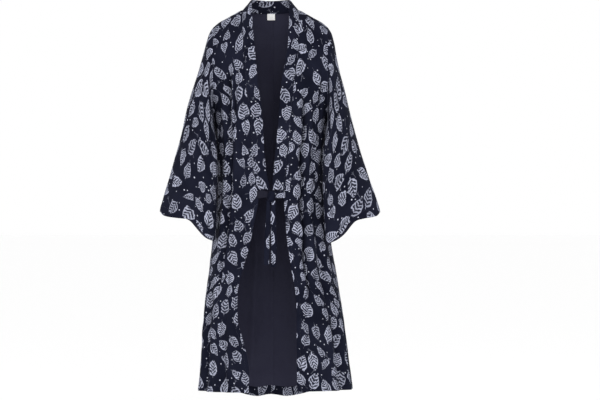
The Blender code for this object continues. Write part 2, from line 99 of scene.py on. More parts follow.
SHOULDER = {
    "across": (0.000, 0.092, 0.120, 0.148, 0.172, 0.190),
    "z": (0.013, 0.013, 0.000, -0.0155, -0.0290, -0.0440),
}
SECTIONS = {
    "z": (-1.300, -1.150, -0.980, -0.860, -0.750, -0.600, -0.480, -0.410, -0.340),
    "left": (0.244, 0.231, 0.220, 0.205, 0.193, 0.181, 0.179, 0.1848, 0.1895),
    "right": (0.278, 0.260, 0.238, 0.217, 0.199, 0.184, 0.180, 0.1848, 0.1895),
    "front": (0.176, 0.168, 0.158, 0.152, 0.148, 0.142, 0.139, 0.137, 0.135),
    "back": (0.158, 0.150, 0.141, 0.134, 0.124, 0.103, 0.102, 0.1035, 0.105),
}
FRONT_EDGE = {
    "z": (-1.257, -1.150, -1.085, -1.010, -0.930, -0.853, -0.780, -0.690, -0.613,
          -0.587, -0.533, -0.450, -0.340, -0.230, -0.173, -0.120, -0.060, 0.013),
    "left": (0.069, 0.072, 0.088, 0.107, 0.107, 0.091, 0.070, 0.052, 0.0385,
             0.042, 0.051, 0.060, 0.066, 0.080, 0.084, 0.087, 0.090, 0.092),
    "right": (0.089, 0.088, 0.087, 0.087, 0.084, 0.071, 0.059, 0.050, 0.0455,
              0.048, 0.051, 0.059, 0.069, 0.077, 0.086, 0.093, 0.093, 0.092),
}
SLEEVE = {
    "outer_out": (0.190, 0.203, 0.2115, 0.2215, 0.2325, 0.2455,
                  0.261, 0.276, 0.296, 0.321, 0.346, 0.367),
    "outer_z": (-0.044, -0.064, -0.093, -0.136, -0.180, -0.227,
                -0.287, -0.353, -0.437, -0.520, -0.593, -0.667),
    "outer_y": (0.000, 0.000, -0.001, -0.003, -0.006, -0.010,
                -0.015, -0.021, -0.028, -0.035, -0.040, -0.044),
    "inner_out": (0.190, 0.1889, 0.1880, 0.1867, 0.1842, 0.181,
                  0.177, 0.175, 0.1755, 0.1765, 0.179, 0.182),
    "inner_z": (-0.340, -0.347, -0.357, -0.372, -0.390, -0.413,
                -0.450, -0.500, -0.570, -0.635, -0.695, -0.750),
    "inner_y": (0.000, -0.006, -0.018, -0.034, -0.049, -0.062,
                -0.077, -0.090, -0.099, -0.104, -0.108, -0.112),
    "half_depth": (0.086, 0.088, 0.089, 0.088, 0.086, 0.083,
                   0.079, 0.074, 0.067, 0.060, 0.055, 0.051),
}
SLEEVE_LENGTH = 0.60
SLEEVE_BOX = 0.85  # how square the sleeve is at its cuff: 1 is round
SLEEVE_TUCK = 0.020  # how far its underarm is tucked in behind
# How far each cuff's edge is lifted, from its outer corner to its inner one, which hangs lower
CUFF_LIFT = {
    "share": (0.00, 0.10, 0.20, 0.28, 0.37, 0.45, 0.53, 0.62, 0.70, 0.79, 0.87, 1.00),
    "left": (0.0000, 0.0030, 0.0076, 0.0131, 0.0195, 0.0261,
             0.0310, 0.0320, 0.0225, 0.0100, 0.0010, 0.0000),
    "right": (0.0000, 0.0030, 0.0085, 0.0148, 0.0205, 0.0255,
              0.0270, 0.0205, 0.0085, 0.0010, -0.0010, 0.0000),
}
CUFF_DROP = {LEFT: 0.006, RIGHT: 0.016}
# How much fuller each sleeve's outer line is than the other's, along the sleeve
SLEEVE_OUT = {
    "place": (0.00, 0.15, 0.30, 0.45, 0.60, 0.75, 0.90, 1.00),
    "left": (0.000, 0.001, 0.003, 0.006, 0.009, 0.009, 0.004, 0.001),
    "right": (0.000, 0.000, -0.003, -0.006, -0.006, -0.003, -0.001, 0.001),
}
CUFF_CORNER, CUFF_CORNER_SHARE = 0.0085, 0.045

# Folds of the sleeves: degrees round the ring, 0 at the outer fold, 90 in front, 180 at the inner.
# The first six are the deep ones; the others are the finer creases.
SLEEVE_FOLDS = {
    "around": (104, 146, 62, 250, 212, 292, 128, 84, 160,
               40, 118, 75, 232, 268, 196, 310, 172, 100),
    "turn": (-8, -14, 6, 10, 12, -8, 60, -40, -30, 55, -70, 20, -60, 45, 40, 30, -50, 35),
    "start": (0.42, 0.06, 0.20, 0.38, 0.08, 0.15, 0.05, 0.50, 0.18, 0.02, 0.30, 0.66,
              0.05, 0.44, 0.25, 0.06, 0.52, 0.02),
    "end": (1.20, 0.80, 0.72, 1.20, 0.86, 0.66, 0.40, 0.92, 0.62, 0.36, 0.64, 1.20,
            0.44, 0.86, 0.66, 0.46, 0.94, 0.24),
    "depth": (0.011, 0.010, 0.006, 0.012, 0.011, 0.006,
              0.0040, 0.0030, 0.0042, 0.0026, 0.0026, 0.0034,
              0.0040, 0.0030, 0.0034, 0.0028, 0.0032, 0.0030),
    "width": (15, 11, 13, 16, 12, 14, 6.0, 5.0, 5.5, 6.5, 5.0, 6.0, 6.5, 5.5, 6.0, 7.0, 5.0, 6.0),
}
SLEEVE_FOLD_FADE = 0.25

# Folds of the body, down a panel at an angle round the section: 0 at the centre, 90 at the side.
# The fold leaves its top angle straight away at bend 1, and late at bend 2.
FOLD_COLUMNS = ("top_angle", "low_angle", "top_z", "low_z", "depth", "width", "bend")
FOLDS = {
    # in each panel the deep folds come first, then the finer creases
    "front_left": (
        (42, 53, -0.14, -0.93, 0.031, 3.4, 2.0),
        (34, 32, -0.17, -0.44, 0.013, 1.7, 2.0),
        (66, 64, -0.84, -1.40, 0.017, 5.0, 2.0),
        (40, 37, -0.86, -1.40, 0.011, 4.0, 2.0),
        (42, 52.5, -0.17, -0.96, 0.0190, 1.35, 2.0),
        (35, 38, -0.20, -0.50, 0.0120, 1.30, 1.5),
        (56, 63, -0.10, -0.46, 0.0042, 1.9, 1.5),
        (86, 60, -0.345, -0.52, 0.0046, 2.6, 1.0),
        (88, 74, -0.40, -0.66, 0.0040, 2.4, 1.0),
        (38, 17, -0.42, -0.60, 0.0040, 2.0, 1.0),
        (27, 14, -0.45, -0.59, 0.0028, 1.7, 1.2),
        (13, 33, -0.60, -0.84, 0.0036, 2.0, 0.8),
        (24, 42, -0.66, -0.92, 0.0030, 2.0, 1.0),
        (70, 50, -0.68, -0.90, 0.0034, 2.2, 1.3),
        (52, 49, -0.98, -1.36, 0.0052, 2.4, 1.0),
        (78, 82, -0.80, -1.24, 0.0060, 2.6, 1.0),
        (31, 27, -1.06, -1.40, 0.0044, 2.0, 1.0),
        (34, 62, -0.04, -0.17, 0.0026, 3.0, 1.0),
    ),
    "front_right": (
        (35, 30, -0.24, -0.95, 0.031, 3.3, 1.5),
        (50, 52, -0.66, -1.05, 0.015, 4.5, 2.0),
        (58, 64, -0.92, -1.40, 0.019, 5.0, 2.0),
        (35, 30, -0.26, -1.00, 0.0200, 1.35, 1.5),
        (57, 52, -0.24, -0.70, 0.0110, 1.30, 1.4),
        (62, 54, -0.12, -0.62, 0.0060, 2.2, 1.4),
        (86, 58, -0.35, -0.55, 0.0048, 2.6, 1.0),
        (88, 70, -0.42, -0.70, 0.0040, 2.4, 1.0),
        (44, 19, -0.40, -0.60, 0.0036, 1.9, 1.0),
        (29, 14, -0.47, -0.59, 0.0030, 1.7, 1.2),
        (14, 31, -0.60, -0.80, 0.0036, 2.0, 0.8),
        (24, 45, -0.70, -0.98, 0.0034, 2.1, 1.0),
        (74, 63, -0.70, -0.98, 0.0040, 2.4, 1.3),
        (42, 44, -1.02, -1.38, 0.0056, 2.4, 1.0),
        (78, 80, -0.94, -1.34, 0.0058, 2.8, 1.0),
        (27, 30, -0.94, -1.24, 0.0032, 1.9, 1.0),
        (36, 60, -0.05, -0.18, 0.0026, 3.0, 1.0),
    ),
    "back_left": (
        (12, 16, -0.62, -1.40, 0.014, 5.0, 2.0),
        (50, 58, -0.16, -0.66, 0.018, 5.0, 2.0),
        (74, 70, -0.70, -1.40, 0.018, 5.5, 2.0),
        (86, 56, -0.345, -0.50, 0.0050, 2.8, 1.0),
        (88, 66, -0.42, -0.64, 0.0040, 2.6, 1.0),
        (34, 30, -0.50, -0.92, 0.0050, 2.6, 1.2),
        (60, 52, -0.66, -1.02, 0.0046, 2.6, 1.2),
        (42, 40, -0.94, -1.40, 0.0070, 3.2, 1.0),
        (26, 30, -1.04, -1.40, 0.0050, 2.6, 1.0),
        (84, 82, -0.90, -1.30, 0.0054, 2.8, 1.0),
        (24, 58, -0.05, -0.16, 0.0030, 3.4, 1.0),
        (8, 30, -0.16, -0.34, 0.0026, 3.0, 1.0),
    ),
    "back_right": (
        (16, 22, -0.74, -1.40, 0.012, 5.0, 2.0),
        (46, 62, -0.20, -0.72, 0.016, 5.0, 2.0),
        (70, 74, -0.58, -1.40, 0.020, 5.5, 2.0),
        (86, 60, -0.345, -0.54, 0.0050, 2.8, 1.0),
        (88, 70, -0.46, -0.66, 0.0038, 2.6, 1.0),
        (30, 34, -0.42, -0.86, 0.0050, 2.6, 1.2),
        (56, 50, -0.80, -1.16, 0.0050, 2.8, 1.2),
        (46, 44, -1.02, -1.40, 0.0066, 3.0, 1.0),
        (34, 31, -0.98, -1.34, 0.0044, 2.6, 1.0),
        (84, 86, -0.84, -1.22, 0.0050, 2.8, 1.0),
        (28, 60, -0.06, -0.18, 0.0028, 3.4, 1.0),
        (10, 26, -0.20, -0.40, 0.0024, 3.0, 1.0),
    ),
}
LAP_WIDTH = 1.4  # creases narrower than this many degrees lap over
LAP, LAP_AT, LAP_HALF = 0.0055, 1.0, 1.2  # how far, and where and how wide in widths of the crease
FOLD_FADE = 0.16  # longest stretch over which a fold comes and goes
FOLD_RIDGE = 0.28  # height of the ridge beside a fold, in depths of the fold
RIDGE_AT, RIDGE_WIDTH = 2.1, 1.3  # in widths of the fold
SWAY, SWAY_WIDEST, SWAY_WAVES = 0.35, 3.4, 37  # how far folds up to this width waver, and how fast
FOLD_CROWD, CROWD_DEPTH = 3.0, 0.0058  # columns stand closer where a fold is at least this deep
BODY_WAVES = ((0.0012, 7, 0.085), (0.0005, 9, 0.034))  # height, how many, and about how long
METRES_PER_DEGREE = 0.0034  # round the body, for the waves

COLLAR = {
    "path": (0.00, 0.50, 1.00, 1.12, 1.30, 1.55, 2.00),
    "inward": (0.000, 0.016, 0.029, 0.031, 0.037, 0.040, 0.040),
    "forward": (0.006, 0.006, 0.004, 0.003, 0.004, 0.003, 0.003),
    "up": (0.0415, 0.0400, 0.0305, 0.0225, 0.0060, 0.0000, 0.0000),
    # its section: how far across the band, and how far out as a share of half its wall
    "across": (-0.045, 0.03, 0.075, 0.14, 0.3, 0.5, 0.7, 0.86, 0.95, 0.99),
    "thick": (0.62, 0.86, 0.80, 1.0, 1.06, 1.08, 1.06, 1.0, 0.90, 0.55),
}

TIE_TOP_Z, TIE_LOW_Z = -0.5890, -0.6140
TIE_FORWARD = 0.0045
TIE_PAST_EDGE = 1.05
TIE_SHADE = 0.39  # how light the tie's plain end is, against the reverse of the cloth: a darker copy of its colour, painted shade on the lit tie
WRAP_WIDTH, WRAP_WALL = 0.0150, 0.0030
WRAP_START, WRAP_ACROSS = 0.0105, 0.0180
WRAP_BEHIND, WRAP_FORWARD = 0.0020, 0.0118
WRAP_HALF_HEIGHT, WRAP_RISE = 0.0145, 0.0010
KNOT_HALF = (0.0155, 0.0100, 0.0195)
KNOT_CENTRE_Z = -0.608
KNOT_X = 0.0045
TAILS = {
    "piece": ("tie_tail_left", "tie_tail_right"),
    "top_x": (-0.0060, 0.0120),
    "low_x": (-0.0115, 0.0110),
    "low_z": (-0.836, -0.842),
    "width": (0.0165, 0.0175),
    "sway": (0.0010, -0.0012),
    "print_at": (1.3225, 0.2295),
}

LABEL_WIDTH, LABEL_HEIGHT, LABEL_OUT = 0.0260, 0.0210, 0.0012
LABEL_WALL, LABEL_INSIDE = 0.0006, -0.0036

# Rows and columns of the cloth before it is subdivided once
FRONT_COLUMNS, BACK_COLUMNS = 56, 50
YOKE_ROWS, SKIRT_ROWS = 34, 72
SLEEVE_SIDES, SLEEVE_ROWS = 84, 56
COLLAR_STATIONS = (34, 117)  # round the back of the neck, and down a front
COLLAR_MARKS = (60, 150)  # the same for its stitch line
TAIL_ROWS = 40

# Turned edges: how far in from the edge the extra rows lie, for the fold, the step and the stitches
TURN_ROWS = (0.0, 0.0020, 0.0060, 0.0110, 0.0135, 0.0150, 0.0180, 0.0230)
HEM_ROWS = (0.0, 0.0020, 0.0070, 0.0150, 0.0205, 0.0225, 0.0250, 0.0300)
HEM_FOLD, HEM_STITCH = 0.022, 0.0204
EDGE_FOLD, EDGE_STITCH = 0.0135, 0.0119
COLLAR_STITCH = 0.052  # as a share of the way across the band
# The back hem's turned cloth: how far above the edge each row lies, and how far inside the cloth
BACK_TURN = {
    "above": (HEM_TURN, HEM_TURN - 0.001, 0.020, 0.012, 0.005, 0.0018, 0.0),
    "inside": (0.0012, 0.0019, 0.0021, 0.0022, 0.0021, 0.0017, 0.0009),
}

# One leaf of the print to each cell of about this width and height
LEAF_CELL = (0.0500, 0.0570)
LEAF_ROWS_TURN = 0.37  # the rows of the repeat lie at this angle to the thread
BODY_LEAN, SLEEVE_LEAN = 1.1, 2.6  # how far the leaves lean, in all, in radians
LEAF_ROOM = (0.315, 0.45)  # how much of its cell a leaf may fill
LEAF_LENGTH = 0.0645  # half the length of a leaf that would fill its cell
LEAF_SLIM = (0.44, 0.73)  # a leaf's width, as a share of its length
LEAF_STRENGTH = (0.70, 1.0)  # how strong its ink is
LEAF_CLEAR = 0.080  # the bare ground kept round it, as a share of its cell
VEIN_ROWS, VEIN_BEND = (2.3, 3.2), (0.95, 1.75)  # how many veins, and how far they bow
DOT_CHANCE, DOT_RADIUS, DOT_INK = 0.80, (0.0010, 0.0023), 0.85
TWIG_CHANCE, TWIG_INK = 0.60, 0.30
WEAVE_THREAD = 0.0011  # from one thread of the weave to the next but one
SLEEVE_PRINT_WIDTH = 0.86  # the cloth is cut a little slantwise there
# Where each piece is cut from the printed cloth: how far out from the middle, and how far down
PRINT_AT = {
    "front": (0.9, 0.4),
    "back": (0.9, -2.3),
    "sleeve": (1.4, -1.1),
    "collar": (0.0, 3.1),
    "hem": (2.2, 0.25),
    "knot": (-0.175, 0.2275),
}
TIE_PRINT, WRAP_PRINT = 0.31, 0.7825  # the same for the folded strips of the tie
STRIP_SLANT = 0.7  # which lie as far down as across, times this
# What the cotton is like: values of the shader's own sockets
COTTON = {
    "Roughness": 0.92,
    "Sheen Weight": 0.008,
    "Sheen Roughness": 0.5,
    "Sheen Tint": (0.62, 0.68, 1.0, 1.0),
    "Specular IOR Level": 0.06,
}

# Seam allowances: past the edge, how far the cloth has turned in
ALLOWANCE = (0.0012, 0.0035, 0.0065)
# The centre-back seam is pressed to one side: how far out and how deep each half's cloth lies
PRESSED = {
    LEFT: ((0.0100, 0.0016), (0.0050, 0.0016), (0.0012, 0.0014)),
    RIGHT: ((0.0094, 0.0008), (0.0040, 0.0008), (0.0006, 0.0006)),
}


# ---------------------------------------------------------------- shape
def column(table, name, at, key="z"):
    """Smooth value of one column of a table at each place in its key column."""
    x = np.asarray(table[key], float)
    y = np.asarray(table[name], float)
    step = np.diff(y) / np.diff(x)
    slope = np.concatenate([step[:1], (step[1:] + step[:-1]) / 2, step[-1:]])
    turning = np.concatenate([[False], step[1:] * step[:-1] <= 0, [False]])
    slope[turning] = 0.0
    at = np.clip(at, x[0], x[-1])
    cell = np.clip(np.searchsorted(x, at, side="right") - 1, 0, len(x) - 2)
    width = x[cell + 1] - x[cell]
    t = (at - x[cell]) / width
    return (
        y[cell] * (1 + 2 * t) * (1 - t) ** 2
        + y[cell + 1] * t**2 * (3 - 2 * t)
        + width * slope[cell] * t * (1 - t) ** 2
        + width * slope[cell + 1] * t**2 * (t - 1)
    )


def ease(value, low, high):
    """0 up to low, 1 from high on, and smooth between them."""
    t = np.clip((value - low) / (high - low), 0.0, 1.0)
    return t * t * (3 - 2 * t)


def lasting(value, low, high, longest_fade):
    """1 between low and high, and smoothly 0 at both ends."""
    fade = min(longest_fade, 0.45 * (high - low))
    return ease(value, low, low + fade) * (1 - ease(value, high - fade, high))


def rounded(value, power):
    """A power that keeps the sign: below 1 it squares off a sine's round."""
    return np.sign(value) * np.abs(value) ** power


def unit(vectors):
    return vectors / np.maximum(np.linalg.norm(vectors, axis=-1, keepdims=True), 1e-12)


def lengths_along(points):
    """How far along a line each of its points lies."""
    return np.concatenate([[0], np.cumsum(np.linalg.norm(np.diff(points, axis=0), axis=1))])


def word(side):
    return "left" if side == LEFT else "right"


def forward_of(face):
    return -1 if face == "front" else 1


def top_of(face, across):
    """Where a panel starts: the shoulder seam and, on the back, the curve of the neck."""
    inside = np.clip(across / NECK_HALF_WIDTH, 0.0, 1.0)
    shoulder = column(SHOULDER, "z", across, "across")
    if face == "front":
        return np.full_like(across, SHOULDER_Y), shoulder
    y = SHOULDER_Y + NECK_DEPTH * np.sqrt(1 - inside**2)
    return y, np.where(inside < 1, NAPE_RISE + (NECK_RISE - NAPE_RISE) * inside**2, shoulder)


def body_base(side, face, drop, angles):
    """Points of the body with no folds. drop: 0 at the shoulder, 1 at the armpit, 2 at the hem."""
    lateral = np.sin(angles) ** SIDE_ROUND
    if drop < 1:
        share = (1 - math.cos(math.pi * drop)) / 2
        across = ARMHOLE_X * lateral
        top_y, top_z = top_of(face, across)
        z = top_z + (ARMPIT_Z - top_z) * share
        near_neck = 1 - ease(across / NECK_HALF_WIDTH, 0.6, 1.3)
        leaving = CHEST_ROUND + (NAPE_ROUND - CHEST_ROUND) * near_neck * (face == "back")
        fullness = (1 - (1 - share) ** CHEST_POWER) ** leaving
        middle = column(SECTIONS, face, ARMPIT_Z) * fullness
        side_depth = ARMHOLE_HALF_DEPTH * math.sin(math.pi * drop)
        power = 1 + (SIDE_POWER - 1) * share
        side_hold = 1 + SIDE_HOLD * share**3
        start = (top_y - SHOULDER_Y) * (1 - share) ** NAPE_FADE
    else:
        level = ARMPIT_Z + (drop - 1) * (FRONT_HEM_Z - ARMPIT_Z)
        low = (drop - 1) ** 3
        rise = np.sin(angles) ** 2 if face == "back" else np.ones_like(angles)
        z = level + HEM_RISE[side] * low * rise
        if face == "back":
            dip = BACK_HEM_DIP * np.cos(angles) ** BACK_DIP_POWER
            z = z - low * (dip - SEAM_LIFT * np.exp(-((angles / SEAM_LIFT_HALF) ** 2)))
        across = column(SECTIONS, word(side), level) * lateral
        middle = column(SECTIONS, face, level)
        side_depth, power, start, side_hold = 0.0, SIDE_POWER, 0.0, 1.0
    curve = (1 - np.clip(lateral, 0, 1) ** power) ** (1 / power)
    depth = middle * curve + side_depth * (1 - curve) ** side_hold
    y = SHOULDER_Y + start + forward_of(face) * depth
    return np.stack([side * across, y, z], axis=-1)


def folds_of(piece):
    return [dict(zip(FOLD_COLUMNS, row)) for row in FOLDS[piece]]


def fold_line(fold, z):
    """The fold's angle and its strength at this height."""
    along = np.clip((fold["top_z"] - z) / (fold["top_z"] - fold["low_z"]), 0.0, 1.0)
    angle = fold["top_angle"] + (fold["low_angle"] - fold["top_angle"]) * along ** fold["bend"]
    return angle, lasting(z, fold["low_z"], fold["top_z"], FOLD_FADE)


def from_fold(fold, degrees, z):
    """How far each place is from a fold's wavering line, in its widths, and the fold's strength."""
    centre, strength = fold_line(fold, z)
    sway = SWAY * fold["width"] * np.sin(z * SWAY_WAVES + fold["top_angle"])
    return (degrees - centre - sway * (fold["width"] < SWAY_WIDEST)) / fold["width"], strength


def fold_section(away):
    """The section of a fold of depth 1: a trough with a low ridge on each side."""
    away = np.abs(away)
    return FOLD_RIDGE * np.exp(-(((away - RIDGE_AT) / RIDGE_WIDTH) ** 2)) - np.exp(-(away**1.5))


def ripple(seed, first, second, waves, size):
    """Slow uneven waves over two coordinates, always the same for one seed."""
    rng = np.random.default_rng(seed)
    total = np.zeros(np.broadcast(first, second).shape)
    for _ in range(waves):
        turn = rng.uniform(0, math.pi)
        count = rng.uniform(0.6, 1.8) / size
        phase = rng.uniform(0, 2 * math.pi)
        along = first * math.cos(turn) + second * math.sin(turn)
        total += np.sin(2 * math.pi * count * along + phase)
    return total / math.sqrt(waves)


def fold_offset(piece, angles, z, drop):
    """How far the cloth stands out of the plain section, by its folds and its slow waves."""
    total = np.zeros_like(angles)
    degrees = np.degrees(angles)
    for fold in folds_of(piece):
        away, strength = from_fold(fold, degrees, z)
        total += strength * fold["depth"] * fold_section(away)
    seed = 11 + 7 * ("back" in piece) + 3 * ("right" in piece)
    around = degrees * METRES_PER_DEGREE
    waves = [
        height * ripple(seed + 40 * k, around, z, count, size)
        for k, (height, count, size) in enumerate(BODY_WAVES)
    ]
    total += sum(waves) * ease(drop, 0, 0.2)
    if "back" in piece:
        total *= ease(degrees, 0.2, 5)
    return total * ease(degrees, 90, 80)


def lap_over(piece, angles, z):
    """How far the cloth beside each sharp crease is drawn across it."""
    total = np.zeros_like(angles)
    for fold in folds_of(piece):
        if fold["width"] <= LAP_WIDTH:
            away, strength = from_fold(fold, np.degrees(angles), z)
            total -= LAP * strength * np.exp(-(((away - LAP_AT) / LAP_HALF) ** 2))
    return total


def folded(side, face, drop, angles):
    """Points of a body panel with its folds."""
    base = body_base(side, face, drop, angles)
    before = body_base(side, face, drop, np.clip(angles - SMALL, 1e-4, None))
    after = body_base(side, face, drop, np.clip(angles + SMALL, None, math.pi / 2))
    along = unit((after - before)[:, :2])
    turn = side if face == "front" else -side
    outward = np.stack([along[:, 1], -along[:, 0]], axis=-1) * turn
    piece = f"{face}_{word(side)}"
    lap = lap_over(piece, angles, base[:, 2])[:, None] * along
    base[:, :2] += outward * fold_offset(piece, angles, base[:, 2], drop)[:, None] + lap
    return base


def outward_of(side, face, drop, angles):
    """The cloth's outward direction at each point."""
    low, high = np.clip(angles - SMALL, 1e-4, None), np.clip(angles + SMALL, None, math.pi / 2)
    along = folded(side, face, drop, high) - folded(side, face, drop, low)
    above, below = max(drop - SMALL, 0), min(drop + SMALL, 2)
    down = folded(side, face, below, angles) - folded(side, face, above, angles)
    return unit(np.cross(down, along) * (side if face == "front" else -side))


def edge_angle(side, drop):
    """The angle where a front's inner edge lies at this drop."""
    angle = math.radians(20)
    for _ in range(6):
        point = body_base(side, "front", drop, np.array([angle]))[0]
        half_width = abs(point[0]) / math.sin(angle) ** SIDE_ROUND
        out = float(column(FRONT_EDGE, word(side), point[2]))
        angle = math.asin(min(out / half_width, 1.0) ** (1 / SIDE_ROUND))
    return angle


def angles_inside(side, drop, first, distances):
    """The angles of places this far in from a front's inner edge, which lies at the angle first."""
    step = body_base(side, "front", drop, np.array([first, first + ANGLE_STEP]))
    return first + np.array(distances) * ANGLE_STEP / np.linalg.norm(np.diff(step, axis=0))


def angle_at(share_of_width):
    """The angle of a place above the armpit, by its share of the panel's half width."""
    return np.arcsin(np.clip(share_of_width, 0, 1) ** (1 / SIDE_ROUND))


def drop_at(z):
    """The row of a front whose inner edge is at this height."""
    share = (NECK_RISE - z) / (NECK_RISE - ARMPIT_Z)
    if share < 1:
        return math.acos(1 - 2 * share) / math.pi
    return 1 + (ARMPIT_Z - z) / BODY_LENGTH


def spread(first, last, count, piece, z):
    """Angles from first to last, closer together where a fold is."""
    fine = np.linspace(first, last, 240)
    density = np.ones_like(fine)
    for fold in folds_of(piece):
        if fold["depth"] < CROWD_DEPTH:
            continue
        centre, strength = fold_line(fold, z)
        away = (np.degrees(fine) - centre) / (2 * max(fold["width"], 1.6))
        steep = min(fold["depth"] / fold["width"] * 200, 2.0)
        density += FOLD_CROWD * steep * strength * np.exp(-(away**2))
    total = np.concatenate([[0.0], np.cumsum((density[1:] + density[:-1]) / 2)])
    return np.interp(np.linspace(0, total[-1], count + 1), total, fine)


def panel_drops(turns):
    """The rows of a body panel from shoulder to hem, with the close rows of the turned hem."""
    yoke = np.linspace(0, 1, YOKE_ROWS + 1)[:-1]
    yoke = np.insert(yoke, 1, 0.008)
    hem = 2 - np.array(turns)[::-1] / BODY_LENGTH
    skirt = np.linspace(1, hem[0], SKIRT_ROWS + 1)[:-1]
    return np.concatenate([yoke, skirt, hem])


def turned_edge(distance, width, swell):
    """How far a turned edge stands proud, with a soft step and the dent of its stitch line."""
    step = swell * (1 - ease(distance, width, width + 0.0012))
    dent = 0.35 * swell * np.exp(-(((distance - width + 0.0016) / 0.0010) ** 2))
    return step - dent


def panel_grid(side, face, sizes):
    """Rows of points of one body panel, with its turned edges raised."""
    piece = f"{face}_{word(side)}"
    columns = FRONT_COLUMNS if face == "front" else BACK_COLUMNS
    rows = []
    for drop in panel_drops(HEM_ROWS):
        height = float(body_base(side, face, drop, np.array([math.pi / 4]))[0, 2])
        first = edge_angle(side, drop) if face == "front" else 1e-3
        if face == "front":
            close = angles_inside(side, drop, first, TURN_ROWS)
            rest = spread(close[-1], math.pi / 2, columns, piece, height)
            angles = np.concatenate([close[:-1], rest])
        else:
            angles = spread(first, math.pi / 2, columns, piece, height)
            turns = np.linspace(0, math.pi / 2, 15)
            out = np.linspace(NECK_HALF_WIDTH, ARMHOLE_X, columns - 14 + 1)[1:]
            top = angle_at(np.concatenate([NECK_HALF_WIDTH * np.sin(turns), out]) / ARMHOLE_X)
            angles = top + (angles - top) * ease(drop, 0, 1)
            angles = np.maximum(angles, first)
        points = folded(side, face, drop, angles)
        outward = outward_of(side, face, drop, angles)
        swell = turned_edge((2 - drop) * BODY_LENGTH, HEM_FOLD, sizes.hem_swell)
        if face == "front" and points[0, 2] < COLLAR_END_Z - 0.004:
            from_edge = lengths_along(points)
            swell = np.maximum(swell, turned_edge(from_edge, EDGE_FOLD, sizes.hem_swell))
        points = points + outward * np.broadcast_to(swell, len(points))[:, None]
        rows.append(points)
    return np.array(rows)


def armhole_centre(side):
    return np.array([side * ARMHOLE_X, SHOULDER_Y, ARMHOLE_CENTRE_Z])


def seam_clearance(sizes):
    return sizes.cloth_wall / 2 - 0.00006


def with_allowances(grid, side, face, sizes):
    """Adds the cloth turned in past the side, armhole, shoulder and centre-back seams."""
    clear = seam_clearance(sizes)
    forward = forward_of(face)
    z = grid[:, -1, 2]
    grid[:, -1, 1] += forward * clear * ease(z, ARMPIT_Z + 0.01, ARMPIT_Z - 0.01)
    low = ease(z, ARMPIT_Z + 0.035, ARMPIT_Z - 0.015)[:, None]
    to_centre = unit(armhole_centre(side) - grid[:, -1])
    to_body = np.array([[-side, 0.0, 0.0]])
    inward = unit(to_centre * (1 - low) + to_body * low)
    grid[:, -1, 0] -= side * clear * (1 - low[:, 0])
    extra = [grid[:, -1] + inward * depth for depth in ALLOWANCE]
    grid = np.concatenate([grid, np.stack(extra, axis=1)], axis=1)
    if face == "back":
        grid[:, 0, 0] = side * 0.0001
        below = np.linalg.norm(grid[:, 0] - grid[0, 0], axis=1)
        deep = ease(below, 0.004, 0.016)[:, None]
        extra = [grid[:, 0] + deep * np.array([out, -depth, 0]) for out, depth in PRESSED[side]]
        grid = np.concatenate([np.stack(extra, axis=1), grid], axis=1)
    across = np.abs(grid[0, :, 0])
    on_shoulder = ease(across, NECK_HALF_WIDTH - 0.002, NECK_HALF_WIDTH + 0.004)
    grid[0, :, 1] += forward * clear * on_shoulder
    down = np.stack([0 * across, 0 * across, -on_shoulder], axis=-1)
    above = np.stack([grid[0] + down * depth for depth in ALLOWANCE[::-1]])
    lift = np.array([0, 0, 0.0006]) * (1 - on_shoulder)[:, None]
    above += lift[None] * np.arange(len(ALLOWANCE), 0, -1)[:, None, None]
    return np.concatenate([above, grid], axis=0)


def cloth_map(grid, reference):
    """Flat place of every point: along its row from the reference column, and down that column."""
    steps = np.linalg.norm(np.diff(grid, axis=1), axis=2)
    along = np.concatenate([np.zeros((len(grid), 1)), np.cumsum(steps, axis=1)], axis=1)
    along -= along[:, reference : reference + 1]
    down = np.linalg.norm(np.diff(grid[:, reference], axis=0), axis=1)
    height = -np.concatenate([[0], np.cumsum(down)])
    return np.stack([along, np.broadcast_to(height[:, None], along.shape)], axis=-1)


def tube_map(grid, reference=None):
    """The flat map of a tube, opened along its first column, with one more column than the ring."""
    wrapped = np.concatenate([grid, grid[:, :1]], axis=1)
    return cloth_map(wrapped, reference or wrapped.shape[1] // 2)


# ---------------------------------------------------------------- making pieces
def robe_collection():
    name = "Cotton yukata robe"
    found = bpy.data.collections.get(name)
    if not found:
        found = bpy.data.collections.new(name)
        bpy.context.scene.collection.children.link(found)
    return found


def grid_mesh(grid, flat, closed=False, flip=False):
    """A mesh through a grid of points, its flat map's layer, and the rows of its corners."""
    rows, count = grid.shape[:2]
    bm = bmesh.new()
    layer = bm.loops.layers.uv.new("Cloth")
    verts = [[bm.verts.new(p) for p in row] for row in grid]
    for r in range(rows - 1):
        for i in range(count if closed else count - 1):
            j = (i + 1) % count
            corners = [(r, i, i), (r, j, i + 1), (r + 1, j, i + 1), (r + 1, i, i)]
            if flip:
                corners = corners[::-1]
            face = bm.faces.new([verts[a][b] for a, b, _ in corners])
            for loop, (a, _, c) in zip(face.loops, corners):
                loop[layer].uv = flat[a, c]
    return bm, layer, verts


def mesh_object(name, bm, materials):
    """One smooth piece that rides with the robe."""
    for face in bm.faces:
        face.smooth = True
    mesh = bpy.data.meshes.new(name)
    bm.to_mesh(mesh)
    bm.free()
    for material in materials:
        mesh.materials.append(material)
    obj = bpy.data.objects.new(name, mesh)
    robe_collection().objects.link(obj)
    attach(obj, "root")
    return obj


def soften(obj):
    """Subdivides a piece once."""
    soft = obj.modifiers.new("soft", "SUBSURF")
    soft.levels = soft.render_levels = 1
    return soft


